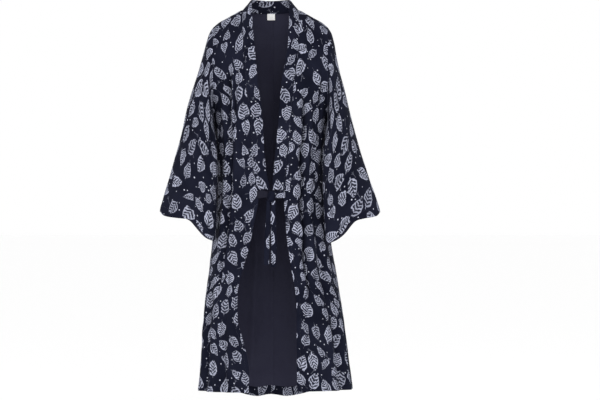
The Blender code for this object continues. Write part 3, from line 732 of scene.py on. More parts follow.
def sheet_object(name, grid, flat, wall, materials, closed=False, flip=False):
    """A sheet through a grid of points, smoothed once and given the cloth's wall."""
    obj = mesh_object(name, grid_mesh(grid, flat, closed, flip)[0], materials)
    soften(obj).boundary_smooth = "PRESERVE_CORNERS"
    shell = obj.modifiers.new("wall", "SOLIDIFY")
    shell.thickness = wall
    shell.offset = 0.0
    if len(materials) > 1:
        shell.material_offset = 1
    return obj


def puffed_object(name, bm, material):
    """A closed piece of folded cloth, smoothed once."""
    bmesh.ops.recalc_face_normals(bm, faces=bm.faces[:])
    obj = mesh_object(name, bm, [material])
    soften(obj)
    return obj


# ---------------------------------------------------------------- finishes
class Value:
    """One output of a node, so that sums of nodes are written with the usual signs."""

    def __init__(self, nodes, socket):
        self.nodes = nodes
        self.socket = socket

    def __add__(self, other):
        return self.nodes.math("ADD", self, other)

    def __radd__(self, other):
        return self.nodes.math("ADD", other, self)

    def __sub__(self, other):
        return self.nodes.math("SUBTRACT", self, other)

    def __rsub__(self, other):
        return self.nodes.math("SUBTRACT", other, self)

    def __mul__(self, other):
        return self.nodes.math("MULTIPLY", self, other)

    def __truediv__(self, other):
        return self.nodes.math("DIVIDE", self, other)

    def __pow__(self, other):
        return self.nodes.math("POWER", self, other)

    def __abs__(self):
        return self.nodes.math("ABSOLUTE", self)


class Nodes:
    """Short words for the nodes of one tree."""

    def __init__(self, tree):
        self.tree = tree

    def add(self, kind, inputs=None, **settings):
        node = self.tree.nodes.new(kind)
        for name, value in settings.items():
            setattr(node, name, value)
        for key, value in (inputs or {}).items():
            self.join(node.inputs[key], value)
        return node

    def join(self, socket, value):
        if isinstance(value, Value):
            self.tree.links.new(value.socket, socket)
        elif value is not None:
            socket.default_value = value

    def values(self, sockets):
        return [Value(self, socket) for socket in sockets]

    def get(self, kind, inputs=None, output=0, **settings):
        """One output of a new node."""
        return Value(self, self.add(kind, inputs, **settings).outputs[output])

    def math(self, operation, first, second=None):
        return self.get("ShaderNodeMath", {0: first, 1: second}, operation=operation)

    def least(self, first, second):
        return self.math("MINIMUM", first, second)

    def most(self, first, second):
        return self.math("MAXIMUM", first, second)

    def step(self, value, low, high, start=0.0, end=1.0):
        """A straight ramp from start at low to end at high."""
        inputs = {0: value, 1: low, 2: high, 3: start, 4: end}
        return self.get("ShaderNodeMapRange", inputs, clamp=True)

    def fall(self, value, low, high):
        """1 up to low and 0 from high on."""
        return self.step(value, low, high, 1.0, 0.0)

    def between(self, chance, least, most):
        """A number that chance puts between least and most."""
        return self.step(chance, 0.0, 1.0, least, most)

    def mix(self, share, first, second):
        node = self.add("ShaderNodeMix", data_type="RGBA")
        self.join(node.inputs["Factor"], share)
        self.join(node.inputs["A"], first)
        self.join(node.inputs["B"], second)
        return Value(self, node.outputs["Result"])

    def noise(self, place, scale, detail, output="Fac", **more):
        inputs = {"Vector": place, "Scale": scale, "Detail": detail, **more}
        return self.get("ShaderNodeTexNoise", inputs, output)

    def bump(self, height, strength, distance, normal=None):
        inputs = {"Height": height, "Strength": strength, "Distance": distance, "Normal": normal}
        return self.get("ShaderNodeBump", inputs)

    def split(self, vector):
        return self.values(self.add("ShaderNodeSeparateXYZ", {0: vector}).outputs)

    def parts(self, colour):
        return self.values(self.add("ShaderNodeSeparateColor", {0: colour}).outputs)

    def vector(self, x, y=0.0, z=0.0):
        return self.get("ShaderNodeCombineXYZ", {0: x, 1: y, 2: z})


def group(name, inputs, outputs):
    """A new node group, its Nodes helper, the values it is given and the sockets of its results."""
    tree = bpy.data.node_groups.new(name, "ShaderNodeTree")
    for label, kind in inputs:
        tree.interface.new_socket(label, in_out="INPUT", socket_type=kind)
    for label in outputs:
        tree.interface.new_socket(label, in_out="OUTPUT", socket_type="NodeSocketFloat")
    n = Nodes(tree)
    given = n.values(n.add("NodeGroupInput").outputs)[: len(inputs)]
    return tree, n, given, n.add("NodeGroupOutput").inputs


def cells(n, place, seed, width, height):
    """Places in cells, whose columns slip up and down, and six random numbers for each cell."""
    x, y, _ = n.split(place)
    across = x / width
    column_number = n.math("FLOOR", across)
    start = {"Vector": n.vector(column_number, seed)}
    along = y / height + n.get("ShaderNodeTexWhiteNoise", start, "Value", noise_dimensions="2D")
    row_number = n.math("FLOOR", along)
    local_x = (across - column_number - 0.5) * width
    local_y = (along - row_number - 0.5) * height
    return local_x, local_y, chances_at(n, column_number, row_number, seed)


def chances_at(n, first, second, seed):
    """Six random numbers that belong to one motif."""
    chances = []
    for more in (0.0, 17.0):
        place = {"Vector": n.vector(first, second, seed + more)}
        chances += n.parts(n.get("ShaderNodeTexWhiteNoise", place, "Color", noise_dimensions="3D"))
    return chances


def turned(n, x, y, angle):
    cos, sin = n.math("COSINE", angle), n.math("SINE", angle)
    return x * cos - y * sin, x * sin + y * cos


def placed(n, x, y, chances, jitter_x, jitter_y, turn=None):
    """Moves a motif inside its cell, and turns it."""
    x = x - (chances[0] - 0.5) * jitter_x
    y = y - (chances[1] - 0.5) * jitter_y
    return turned(n, x, y, (chances[2] - 0.5) * turn) if turn else (x, y)


def leaf_print():
    """Scattered leaves, each in its own ground: how light the ink is, and what they keep clear."""
    inputs = (("Place", "NodeSocketVector"), ("Lean", "NodeSocketFloat"))
    tree, n, (place, all_lean), result = group("leaf print", inputs, ("Light", "Cover"))
    wide, high = LEAF_CELL
    x, y, _ = n.split(place)
    x, y = turned(n, x, y, LEAF_ROWS_TURN)
    row = y / high
    slipped = x / wide + row * 0.5
    spots = {"Vector": n.vector(slipped, row), "Scale": 1.0, "Randomness": 0.50}
    kind = "ShaderNodeTexVoronoi"
    nearest = n.add(kind, spots, voronoi_dimensions="2D", feature="F1").outputs
    room = n.get(kind, spots, "Radius", voronoi_dimensions="2D", feature="N_SPHERE_RADIUS")
    fence = n.get(kind, spots, "Distance", voronoi_dimensions="2D", feature="DISTANCE_TO_EDGE")
    centre_x, centre_y, _ = n.split(Value(n, nearest["Position"]))
    own = n.parts(Value(n, nearest["Color"]))
    chance = chances_at(n, own[0], own[1], 2.0)
    rise = row - centre_y
    aside = slipped - centre_x - rise * 0.5
    # most leaves stand nearly upright, tip up or down, and a few lie across
    lean = (chance[2] - 0.5) * all_lean + chance[1] ** 4.0
    flip = n.math("GREATER_THAN", chance[3], 0.5) * math.pi
    x, y = turned(n, aside * wide, rise * high, lean + flip - LEAF_ROWS_TURN)
    waver = []
    for scale, size in ((85.0, 0.0070), (280.0, 0.0028)):
        both = n.split(n.noise(place, scale, 1.0, "Color"))[:2]
        waver += [(value - 0.5) * size for value in both]
    slow_x, slow_y, quick_x, quick_y = waver
    x = x + (slow_x + quick_x)
    y = y + (slow_y + quick_y)
    # the outline: t runs from the stem at -1 to the tip at 1, and s from the midrib out to 1
    length = n.least(n.most(room, LEAF_ROOM[0]), LEAF_ROOM[1]) * LEAF_LENGTH
    width = length * n.between(chance[5], *LEAF_SLIM)
    t = y / length
    out = abs(x)
    s = out / width
    tip = n.most(1.0 - t, 0.0) ** 0.92
    base = n.most(1.0 + t, 0.0) ** 0.48
    edge = tip * base * 0.96
    clear = fence + (slow_x * 14.0 + quick_y * 16.0)
    inside = n.least((edge - s) * width, (clear - LEAF_CLEAR) * 0.05)
    filled = n.step(inside, -0.0004, 0.0004)
    # curved veins: dark ground between grey flesh with a pale line along each
    rows = n.between(chance[0], *VEIN_ROWS)
    bow = s**0.80 * n.between(chance[4], *VEIN_BEND)
    phase = t * rows - (bow + n.noise(place, 150.0, 1.0) * 0.7)
    wave = abs(n.math("FRACT", phase) - 0.5) * 2.0
    border = n.step((edge * 0.84 - s) * width, -0.0002, 0.0006)
    rib = n.fall(out, 0.0006, 0.0010) * n.fall(t, 0.62, 0.70)
    rib = rib * n.math("GREATER_THAN", chance[1], 0.55)
    veins = n.most(n.fall(wave, 0.36, 0.50), rib) * border
    pale = n.most(n.step(wave, 0.62, 0.76, 0.34, 1.10), n.fall(border, 0.0, 1.0))
    stem = n.fall(out, 0.0007, 0.0012) * n.fall(t, -0.96, -0.92)
    stem = stem * n.step(t, -1.24, -1.20) * n.step(fence, 0.02, 0.03)
    light = filled * pale * n.step(veins, 0.0, 1.0, 1.0, 0.06)
    n.join(result["Light"], n.most(light, stem) * n.between(chance[4], *LEAF_STRENGTH))
    n.join(result["Cover"], n.most(n.step(inside, -0.0030, -0.0018), stem))
    return tree


def speck_layer():
    """Small dots and faint forked twigs between the leaves."""
    inputs = (("Place", "NodeSocketVector"),)
    tree, n, (place,), result = group("dots and twigs", inputs, ("Dots", "Twigs"))
    x, y, chance = cells(n, place, 3.0, 0.026, 0.029)
    x, y = placed(n, x, y, chance, 0.020, 0.022)
    reach = n.math("SQRT", x * x + y * y)
    dot = n.step(n.between(chance[4], *DOT_RADIUS) - reach, -0.0002, 0.0004)
    n.join(result["Dots"], dot * n.math("LESS_THAN", chance[5], DOT_CHANCE))
    x, y, chance = cells(n, place, 9.0, 0.058, 0.066)
    x, y = placed(n, x, y, chance, 0.026, 0.030, 3.0)
    out = abs(x)
    main = n.fall(out, 0.0003, 0.0007) * n.fall(abs(y), 0.0110, 0.0120)
    fork = n.fall(abs(out - (y - 0.003) * 0.8), 0.0003, 0.0007)
    fork = fork * n.step(y, 0.003, 0.0035) * n.fall(y, 0.0085, 0.0095)
    n.join(result["Twigs"], n.most(main, fork) * n.math("LESS_THAN", chance[5], TWIG_CHANCE))
    return tree


def weave_height(n, flat, thread):
    """A plain weave with slubs: crossed threads and slow thick places along them."""
    x, y, _ = n.split(flat)
    turn = 2 * math.pi / thread
    woven = n.math("SINE", x * turn) * n.math("SINE", y * turn) * 0.35
    for stretch in ((900.0, 70.0, 1.0), (70.0, 900.0, 1.0)):
        pulled = n.get("ShaderNodeVectorMath", {0: flat, 1: stretch}, operation="MULTIPLY")
        woven = woven + n.noise(pulled, 1.0, 2.0) * 0.9
    return woven


def new_material(name):
    """A new material, its Nodes helper and its shader."""
    made = bpy.data.materials.new(name)
    made.use_nodes = True
    return made, Nodes(made.node_tree), made.node_tree.nodes["Principled BSDF"]


def inked(n, flat, ground, colours, lean):
    """The ground with its print: the leaves, and twigs and dots where the leaves leave it bare."""
    whole = bpy.data.node_groups.get("leaf print") or leaf_print()
    specks = bpy.data.node_groups.get("dots and twigs") or speck_layer()
    motif = n.add("ShaderNodeGroup", {"Place": flat, "Lean": lean}, node_tree=whole).outputs
    small = n.add("ShaderNodeGroup", {"Place": flat}, node_tree=specks).outputs
    leaf, dot = (*colours.leaf, 1), (*colours.dot, 1)
    bare = 1.0 - Value(n, motif["Cover"])
    patchy = n.step(n.noise(flat, 260.0, 2.0), 0.25, 0.60, 0.80, 1.0)
    colour = n.mix(Value(n, motif["Light"]) * patchy, ground, leaf)
    colour = n.mix(Value(n, small["Twigs"]) * bare * TWIG_INK, colour, leaf)
    return n.mix(Value(n, small["Dots"]) * bare * DOT_INK, colour, dot)


def cloth_material(name, colours, lean=None, depth=1.0):
    """Cotton with its weave: with a lean it has the leaf print, and without it is plain."""
    found = bpy.data.materials.get(name)
    if found:
        return found
    made, n, shader = new_material(name)
    flat = n.get("ShaderNodeUVMap", uv_map="Cloth")
    slow = n.noise(flat, 9.0, 3.0)
    if lean:
        ground = n.mix(n.step(slow, 0.35, 0.65), (*colours.ground, 1), (*colours.ground_worn, 1))
        colour = inked(n, flat, ground, colours, lean)
    else:
        # depth scales the reverse's colours: the tie's plain end takes them darker, as painted
        # shade
        pair = [(*(c * depth for c in each), 1) for each in (colours.reverse, colours.reverse_worn_painted_light)]
        colour = n.mix(n.step(slow, 0.3, 0.7), *pair)
    woven = weave_height(n, flat, WEAVE_THREAD)
    # the colour follows the weave's height: darker in its low places and lighter on its raised
    # threads and slubs, as painted shade of the weave
    painted_weave_shade = n.step(woven, 0.5, 1.4, 0.90, 1.08)
    shade = n.get("ShaderNodeVectorMath", {0: colour, "Scale": painted_weave_shade}, operation="SCALE")
    n.join(shader.inputs["Base Color"], shade)
    for socket, value in COTTON.items():
        shader.inputs[socket].default_value = value
    # small soft crumples left by wear and washing, and the weave over them
    crumpled = n.bump(n.noise(flat, 42.0, 3.0, Distortion=0.6), 0.35, 0.004)
    n.join(shader.inputs["Normal"], n.bump(woven, 0.35, 0.00025, crumpled))
    return made


def plain_material(name, colour, roughness, thread=0.0, sheen=0.1):
    """Thread, or the label's satin weave."""
    found = bpy.data.materials.get(name)
    if found:
        return found
    made, n, shader = new_material(name)
    shader.inputs["Roughness"].default_value = roughness
    shader.inputs["Sheen Weight"].default_value = sheen
    place = n.get("ShaderNodeTexCoord", output="Object")
    dark = tuple(c * 0.90 for c in colour)
    speckle = n.step(n.noise(place, 900.0, 1.0), 0.3, 0.7)
    n.join(shader.inputs["Base Color"], n.mix(speckle, (*dark, 1), (*colour, 1)))
    if thread:
        x, _, z = n.split(place)
        turn = 2 * math.pi / thread
        height = n.math("SINE", x * turn) * n.math("SINE", z * turn)
        n.join(shader.inputs["Normal"], n.bump(height, 0.5, 0.0002))
    return made


def printed(colours):
    return cloth_material("leaf print cotton", colours, BODY_LEAN)


# The plain back of the cloth, its colours lifted as painted light for the shaded inside
def reverse(colours):
    return cloth_material("plain cotton reverse", colours)


# ---------------------------------------------------------------- settings
def number_property(name, text, default, low=0.0, high=1000.0, **more):
    return FloatProperty(name=name, description=text, default=default, min=low, max=high, **more)


def length_property(name, text, default, low=0.0001, high=1.0):
    return number_property(name, text, default, low, high, unit="LENGTH", precision=5)


def colour_property(name, text, default):
    kind = {"min": 0, "max": 1, "size": 3, "subtype": "COLOR"}
    return FloatVectorProperty(name=name, description=text, default=default, **kind)


class RobeSizes(PropertyGroup):
    cloth_wall: length_property("Cloth wall", "Thickness of the cotton", 0.0007)
    band_wall: length_property("Band wall", "Thickness of the folded collar band", 0.0030)
    tie_wall: length_property("Tie wall", "Thickness of the folded tie", 0.0022)
    hem_swell: length_property("Hem swell", "How far the turned edges stand proud", 0.0007)
    stitch_length: length_property("Stitch length", "Length of one stitch and its gap", 0.0034)
    stitch_thread: length_property("Stitch thread", "Radius of the sewing thread", 0.00022)


class RobeColours(PropertyGroup):
    ground: colour_property("Ground", "Printed face", (0.0046, 0.0055, 0.0125))
    ground_worn: colour_property("Worn ground", "Faded printed face", (0.0088, 0.0100, 0.0205))
    leaf: colour_property("Leaf", "Grey ink of the leaves", (0.398, 0.416, 0.525))
    dot: colour_property("Dot", "Pale ink of the dots", (0.600, 0.622, 0.735))
    # The reverse's two colours are lighter than the cloth's own plain back: painted light for the
    # shaded inside of the robe
    reverse: colour_property("Reverse", "Plain back of the cloth", (0.0290, 0.0286, 0.0495))
    reverse_worn_painted_light: colour_property("Worn reverse", "Faded plain back", (0.0335, 0.0338, 0.0560))
    thread: colour_property("Thread", "Navy sewing thread", (0.016, 0.018, 0.034))
    label: colour_property("Label", "Bare woven label", (0.98, 0.98, 0.98))


class RobeStage(PropertyGroup):
    distance: length_property("Distance", "Camera in front of the robe", 10.0, 1.0, 100.0)
    aim_x: length_property("Aim across", "Where the camera looks, across", 0.0983, -5.0, 5.0)
    aim_z: length_property("Aim height", "Where the camera looks, up", -0.6200, -5.0, 5.0)
    frame_width: length_property("Frame width", "Width of the view at the robe", 2.0, 0.1, 10.0)
    floor_below: length_property("Floor below hem", "From the hem to the floor", 0.16, 0.0, 2.0)
    key_power: number_property("Key light", "Power of the main light", 105.0, unit="POWER")
    fill_power: number_property("Fill light", "Power of the fill light", 40.0, unit="POWER")
    sky: number_property("Sky", "Strength of the even light", 1.0)


SETTINGS = {"robe_sizes": RobeSizes, "robe_colours": RobeColours, "robe_stage": RobeStage}


def settings():
    return [getattr(bpy.context.scene, name) for name in SETTINGS]


def print_shift(piece, side):
    """Where a piece is cut from the printed cloth."""
    across, down = PRINT_AT[piece]
    return np.array([across * side, down])


class ROBE_OT_body(Operator):
    """Sew the two fronts and the two halves of the back, with turned edges and seam allowances"""

    bl_idname = "robe.body"
    bl_label = "Body panels"

    def execute(self, context):
        sizes, colours, _ = settings()
        for face in ("front", "back"):
            for side in (LEFT, RIGHT):
                node = f"{face}_{word(side)}"
                grid = with_allowances(panel_grid(side, face, sizes), side, face, sizes)
                flat = cloth_map(grid, grid.shape[1] // 2) + print_shift(face, side)
                flip = (side == LEFT) != (face == "front")
                cloth = sizes.cloth_wall, [printed(colours), reverse(colours)]
                obj = sheet_object(f"{node}_cloth", grid, flat, *cloth, flip=flip)
                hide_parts(node)
        return {"FINISHED"}


# ---------------------------------------------------------------- sleeves
def sleeve_fold_offset(around, place, side):
    """How far a sleeve stands out of its plain ring, by its folds and its slow waves."""
    total = np.zeros_like(around)
    for row in zip(*SLEEVE_FOLDS.values()):
        fold = dict(zip(SLEEVE_FOLDS, row))
        centre = math.radians(fold["around"] + fold["turn"] * (place - fold["start"]))
        apart = np.arctan2(np.sin(around - centre), np.cos(around - centre))
        strength = lasting(place, fold["start"], fold["end"], SLEEVE_FOLD_FADE)
        uneven = 1 + 0.3 * side * math.sin(fold["around"]) * (fold["depth"] < 0.005)
        total += strength * uneven * fold["depth"] * fold_section(np.degrees(apart) / fold["width"])
    x, y = np.cos(around) * 0.10, np.sin(around) * 0.10
    waves = 0.0012 * ripple(71 + side, x + 0.3 * place, y - 0.45 * place, 8, 0.09)
    waves += 0.0004 * ripple(91 + side, x + 0.2 * place, y - 0.5 * place, 9, 0.035)
    return total + waves * ease(place, 0, 0.12)


def sleeve_ring(side, place, around):
    """One ring of a sleeve, and outward of it. place is 0 at the armhole and 1 at the cuff."""
    stations = np.linspace(0, 1, len(SLEEVE["outer_z"]))
    table = {"place": stations, **SLEEVE}
    at = {name: float(column(table, name, place, "place")) for name in SLEEVE}
    at["outer_out"] += float(column(SLEEVE_OUT, word(side), place, "place"))
    at["inner_z"] -= CUFF_DROP[side] * place**4
    inner_share = (1 - np.cos(around)) / 2
    box = 1 + (SLEEVE_BOX - 1) * place
    bulge = rounded(np.sin(around), box)
    out = at["outer_out"] + (at["inner_out"] - at["outer_out"]) * inner_share
    out += SLEEVE_TUCK * ease(place, 0, 0.25) * inner_share * np.clip(-np.sin(around), 0, 1)
    z = at["outer_z"] + (at["inner_z"] - at["outer_z"]) * inner_share
    y = SHOULDER_Y + at["outer_y"] + (at["inner_y"] - at["outer_y"]) * inner_share
    y -= at["half_depth"] * bulge
    lift = column(CUFF_LIFT, word(side), inner_share, "share") * place**6
    corner = CUFF_CORNER * np.exp(-((inner_share / CUFF_CORNER_SHARE) ** 2))
    corner = corner * ease(place, 0.975, 1.0) ** 2
    ring = np.stack([side * (out - corner * 0.35), y, z + lift + corner], axis=-1)
    centre = ring.mean(axis=0)
    across = (side * (at["outer_out"] - at["inner_out"]), 0, at["outer_z"] - at["inner_z"])
    axis = np.cross(across, (0, 1, 0))
    outward = np.cross(np.roll(ring, -1, axis=0) - np.roll(ring, 1, axis=0), axis)
    outward *= np.sign(np.sum(outward * (ring - centre), axis=1, keepdims=True))
    outward = unit(outward)
    return ring + outward * sleeve_fold_offset(around, place, side)[:, None], outward


class ROBE_OT_sleeves(Operator):
    """Sew the two wide sleeves, with turned cuffs"""

    bl_idname = "robe.sleeves"
    bl_label = "Sleeves"

    def execute(self, context):
        sizes, colours, _ = settings()
        around = np.linspace(0, 2 * math.pi, SLEEVE_SIDES, endpoint=False)
        cuff = 1 - np.array(HEM_ROWS)[::-1] / SLEEVE_LENGTH
        places = np.concatenate([[0, 0.004], np.linspace(0.018, cuff[0], SLEEVE_ROWS)[:-1], cuff])
        clear = seam_clearance(sizes)
        material = cloth_material("leaf print cotton, scattered", colours, SLEEVE_LEAN)
        for side in (LEFT, RIGHT):
            rings = []
            for place in places:
                ring, outward = sleeve_ring(side, place, around)
                from_cuff = (1 - place) * SLEEVE_LENGTH
                ring += outward * turned_edge(from_cuff, HEM_FOLD, sizes.hem_swell)
                ring[:, 0] += side * clear * (1 - ease(place, 0, 0.1))
                rings.append(ring)
            inward = unit(armhole_centre(side) - rings[0]) * np.array([0, 1, 1])
            seam = [rings[0] + inward * depth for depth in ALLOWANCE[::-1]]
            grid = np.array(seam + rings)
            flat = tube_map(grid) * (SLEEVE_PRINT_WIDTH, 1.0) + print_shift("sleeve", side)
            name = f"sleeve_{word(side)}"
            cloth = sizes.cloth_wall, [material, reverse(colours)]
            obj = sheet_object(f"{name}_cloth", grid, flat, *cloth, closed=True, flip=side == LEFT)
            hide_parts(name)
        return {"FINISHED"}


# ---------------------------------------------------------------- collar
def neck_seam(side, path):
    """The collar seam, from the nape (0) over the shoulder (1) to the end of the band (2)."""
    if path <= 1:
        turn = path * math.pi / 2
        across = NECK_HALF_WIDTH * math.sin(turn)
        rise = NAPE_RISE + (NECK_RISE - NAPE_RISE) * math.sin(turn) ** 2
        return np.array([side * across, SHOULDER_Y + NECK_DEPTH * math.cos(turn), rise])
    drop = drop_at(NECK_RISE + (path - 1) * (COLLAR_END_Z - NECK_RISE))
    return folded(side, "front", drop, np.array([edge_angle(side, drop)]))[0]


def collar_reach(side, path):
    """The way across the band from its seam to its free edge."""
    ways = ("inward", "forward", "up")
    inward, forward, up = (float(column(COLLAR, way, path, "path")) for way in ways)
    return np.array([-side * inward, -forward, up])


def collar_lines(back_count, front_count, end, even):
    """All along the band: its seam, the way across it to its free edge, and outward of it."""
    paths = np.concatenate([np.linspace(0, 1, back_count)[:-1], np.linspace(1, end, front_count)])
    stations = [(LEFT, p) for p in paths[::-1]] + [(RIGHT, p) for p in paths[1:]]
    seams = np.array([neck_seam(side, path) for side, path in stations])
    reaches = np.array([collar_reach(side, path) for side, path in stations])
    along = unit(np.gradient(seams, axis=0))
    if even:
        along[1:-1] = unit(along[:-2] + 2 * along[1:-1] + along[2:])
    outward = unit(np.cross(along, reaches))
    if outward[len(stations) // 4][1] > 0:
        outward = -outward
    return seams, reaches, outward


class ROBE_OT_collar(Operator):
    """Fold the collar band round the edge of the neck and the fronts"""

    bl_idname = "robe.collar"
    bl_label = "Collar band"

    def execute(self, context):
        sizes, colours, _ = settings()
        half = sizes.band_wall / 2 - sizes.cloth_wall / 2
        seams, reaches, outward = collar_lines(*COLLAR_STATIONS, 2, even=True)
        # out along the band's outer face to its free edge, and back along its inner face
        face = list(zip(COLLAR["across"], COLLAR["thick"]))
        section = [*face, (1.0, 0.0), *((a, -t) for a, t in face[::-1])]
        step = np.arange(len(seams))
        grid = []
        for a, t in section:
            soft = 0.00035 * ripple(5, step * 0.012, np.full(len(step), a * 0.04), 8, 0.05)
            grid.append(seams + reaches * a + outward * (half * t + soft * (abs(t) > 0.5))[:, None])
        grid = self.closed_ends(np.array(grid).transpose(1, 0, 2))
        flat = cloth_map(grid, len(section) // 2) + print_shift("collar", RIGHT)
        cloth = sizes.cloth_wall, [printed(colours)]
        obj = sheet_object("collar_cloth", grid, flat, *cloth, flip=True)
        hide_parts("collar")
        return {"FINISHED"}

    @staticmethod
    def closed_ends(grid):
        """Tucks the two ends of the band in, so that they close."""
        middle = (grid + grid[:, ::-1]) / 2
        first = grid[0] + (middle[0] - grid[0]) * 0.75
        last = grid[-1] + (middle[-1] - grid[-1]) * 0.75
        return np.concatenate([first[None], grid, last[None]], axis=0)


# ---------------------------------------------------------------- tie
def front_y(side, z):
    """Depth of a front's free edge at this height."""
    drop = drop_at(z)
    return folded(side, "front", drop, np.array([edge_angle(side, drop)]))[0, 1]


def knot_depth():
    return (front_y(LEFT, KNOT_CENTRE_Z) + front_y(RIGHT, KNOT_CENTRE_Z)) / 2 - TIE_FORWARD


def strip(name, centres, spans, ways, material, offset):
    """A flattened tube of folded cloth along a line, with its widths and walls and their ways."""
    (widths, walls), (across, outward) = spans, ways
    turns = np.linspace(0, 2 * math.pi, 20, endpoint=False)
    grid = (
        centres[:, None]
        + across[:, None] * (widths[:, None] / 2 * rounded(np.cos(turns), 0.55))[..., None]
        + outward[:, None] * (walls[:, None] / 2 * rounded(np.sin(turns), 0.75))[..., None]
    )
    flat = tube_map(grid, 5) + np.array([offset, STRIP_SLANT * offset])
    bm, layer, verts = grid_mesh(grid, flat, closed=True)
    for end in (0, -1):
        face = bm.faces.new(verts[end] if end else verts[end][::-1])
        for loop, place in zip(face.loops, flat[end]):
            loop[layer].uv = place
    return puffed_object(name, bm, material)


class ROBE_OT_tie(Operator):
    """Knot the narrow tie at the ends of the collar, with its two hanging tails"""

    bl_idname = "robe.tie"
    bl_label = "Tie"

    def execute(self, context):
        sizes, colours, _ = settings()
        depth = knot_depth()
        for side in (LEFT, RIGHT):
            # the tie's plain end: a darker copy of the reverse's colours, as painted shade
            plain = cloth_material("plain cotton tie", colours, depth=TIE_SHADE)
            self.band(side, depth, sizes, plain if side == LEFT else printed(colours))
        self.knot(depth, printed(colours))
        for row in zip(*TAILS.values()):
            self.tail(dict(zip(TAILS, row)), depth, sizes, printed(colours))
        return {"FINISHED"}

    @staticmethod
    def band(side, depth, sizes, material):
        name = f"tie_{word(side)}"
        outer = side * float(column(FRONT_EDGE, word(side), TIE_TOP_Z)) * TIE_PAST_EDGE
        t = np.linspace(0, 1, 14)
        x = outer + (KNOT_X + side * KNOT_HALF[0] * 0.7 - outer) * t
        soft = 0.0006 * ripple(8 + side, t * 0.06, t * 0.02, 5, 0.03)
        y = depth - 0.0015 * np.sin(math.pi * t) - soft
        middle = (TIE_TOP_Z + TIE_LOW_Z) / 2
        z = middle + 0.0008 * np.sin(5 * t + side)
        widths = (TIE_TOP_Z - TIE_LOW_Z) * (1 - 0.22 * ease(t, 0.35, 1.0))
        centres = np.stack([x, y, z], axis=-1)
        across = np.broadcast_to(np.array([0.0, 0.0, 1.0]), centres.shape)
        outward = np.broadcast_to(np.array([0.0, -1.0, 0.0]), centres.shape)
        walls = np.full(len(t), sizes.tie_wall) * (1 + 0.5 * ease(t, 0.6, 1.0))
        shape = centres, (widths, walls), (across, outward)
        obj = strip(f"{name}_cloth", *shape, material, TIE_PRINT * side)
        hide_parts(name)
        f"front_{word(side)}"

    @staticmethod
    def knot(depth, material):
        """A crossed knot: one wide loop down its front over a puffed core."""
        rows, count = 22, 28
        bm = bmesh.new()
        layer = bm.loops.layers.uv.new("Cloth")
        verts = []
        for r in range(1, rows):
            turn = math.pi * r / rows
            ring = []
            for i in range(count):
                a = 2 * math.pi * i / count
                level = math.cos(turn)
                girth = math.sin(turn) ** 0.62
                pinch = 1 - 0.20 * level**2
                x = KNOT_HALF[0] * pinch * girth * rounded(math.cos(a), 0.85)
                y = KNOT_HALF[1] * girth * rounded(math.sin(a), 0.85)
                z = KNOT_HALF[2] * level
                crease = 0.0007 * math.sin(x * 1400 + z * 500) * girth * (0.5 - 0.5 * math.sin(a))
                scale = 0.92 + crease / 0.010
                place = (KNOT_X + x * scale, depth + y * scale, KNOT_CENTRE_Z + z)
                ring.append(bm.verts.new(place))
            verts.append(ring)
        for above, below in zip(verts, verts[1:]):
            for i in range(count):
                j = (i + 1) % count
                bm.faces.new((above[i], below[i], below[j], above[j]))
        bm.faces.new(verts[0])
        bm.faces.new(verts[-1][::-1])
        for face in bm.faces:
            for loop in face.loops:
                x, _, z = loop.vert.co
                loop[layer].uv = (x + 0.4 * z + PRINT_AT["knot"][0], z + PRINT_AT["knot"][1])
        obj = puffed_object("tie_knot_cloth", bm, material)
        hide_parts("tie_knot")
        # the end that goes over the knot, from high on the right to low on the left
        t = np.linspace(0, 1, 26)
        turn = math.pi * t
        x = KNOT_X + WRAP_START - WRAP_ACROSS * t
        y = depth + WRAP_BEHIND - WRAP_FORWARD * np.sin(turn) ** 0.6
        z = KNOT_CENTRE_Z + WRAP_HALF_HEIGHT * np.cos(turn) + WRAP_RISE
        centres = np.stack([x, y, z], axis=-1)
        along = unit(np.gradient(centres, axis=0))
        outward = unit(np.stack([0 * t, -np.sin(turn) - 0.25, np.cos(turn)], axis=-1))
        across = unit(np.cross(outward, along))
        outward = unit(np.cross(along, across))
        widths = WRAP_WIDTH * (1 - 0.16 * np.sin(turn))
        widths = widths + 0.0004 * ripple(3, t * 0.04, t * 0, 4, 0.02)
        walls = np.full(len(t), WRAP_WALL)
        shape = centres, (widths, walls), (across, outward)
        wrap = strip("tie_knot_wrap", *shape, material, WRAP_PRINT)
        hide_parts("tie_knot")

    @staticmethod
    def tail(tail, depth, sizes, material):
        top = KNOT_CENTRE_Z - KNOT_HALF[2] + 0.006
        t = np.linspace(0, 1, TAIL_ROWS + 1)
        seed = 21 if tail["top_x"] < 0 else 27
        x = tail["top_x"] + (tail["low_x"] - tail["top_x"]) * t
        x = x + tail["sway"] * np.sin(2 * math.pi * t)
        y = depth + tail["sway"] * np.sin(3 * math.pi * t)
        z = top + (tail["low_z"] + 0.001 - top) * t
        centres = np.stack([x, y, z], axis=-1)
        twist = 0.30 * ripple(seed, t * 0.23, t * 0, 4, 0.22) * ease(t, 0, 0.15)
        across = np.stack([np.cos(twist), np.sin(twist), 0 * t], axis=-1)
        outward = np.stack([np.sin(twist), -np.cos(twist), 0 * t], axis=-1)
        uneven = 1 + 0.03 * ripple(seed + 1, t * 0.23, t * 0, 4, 0.06)
        widths = tail["width"] * (0.72 + 0.28 * ease(t, 0, 0.3)) * uneven
        walls = sizes.tie_wall * (1 + 0.4 * (1 - ease(t, 0, 0.1)))
        name = tail["piece"]
        shape = centres, (widths, walls), (across, outward)
        obj = strip(f"{name}_cloth", *shape, material, tail["print_at"])
        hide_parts(name)


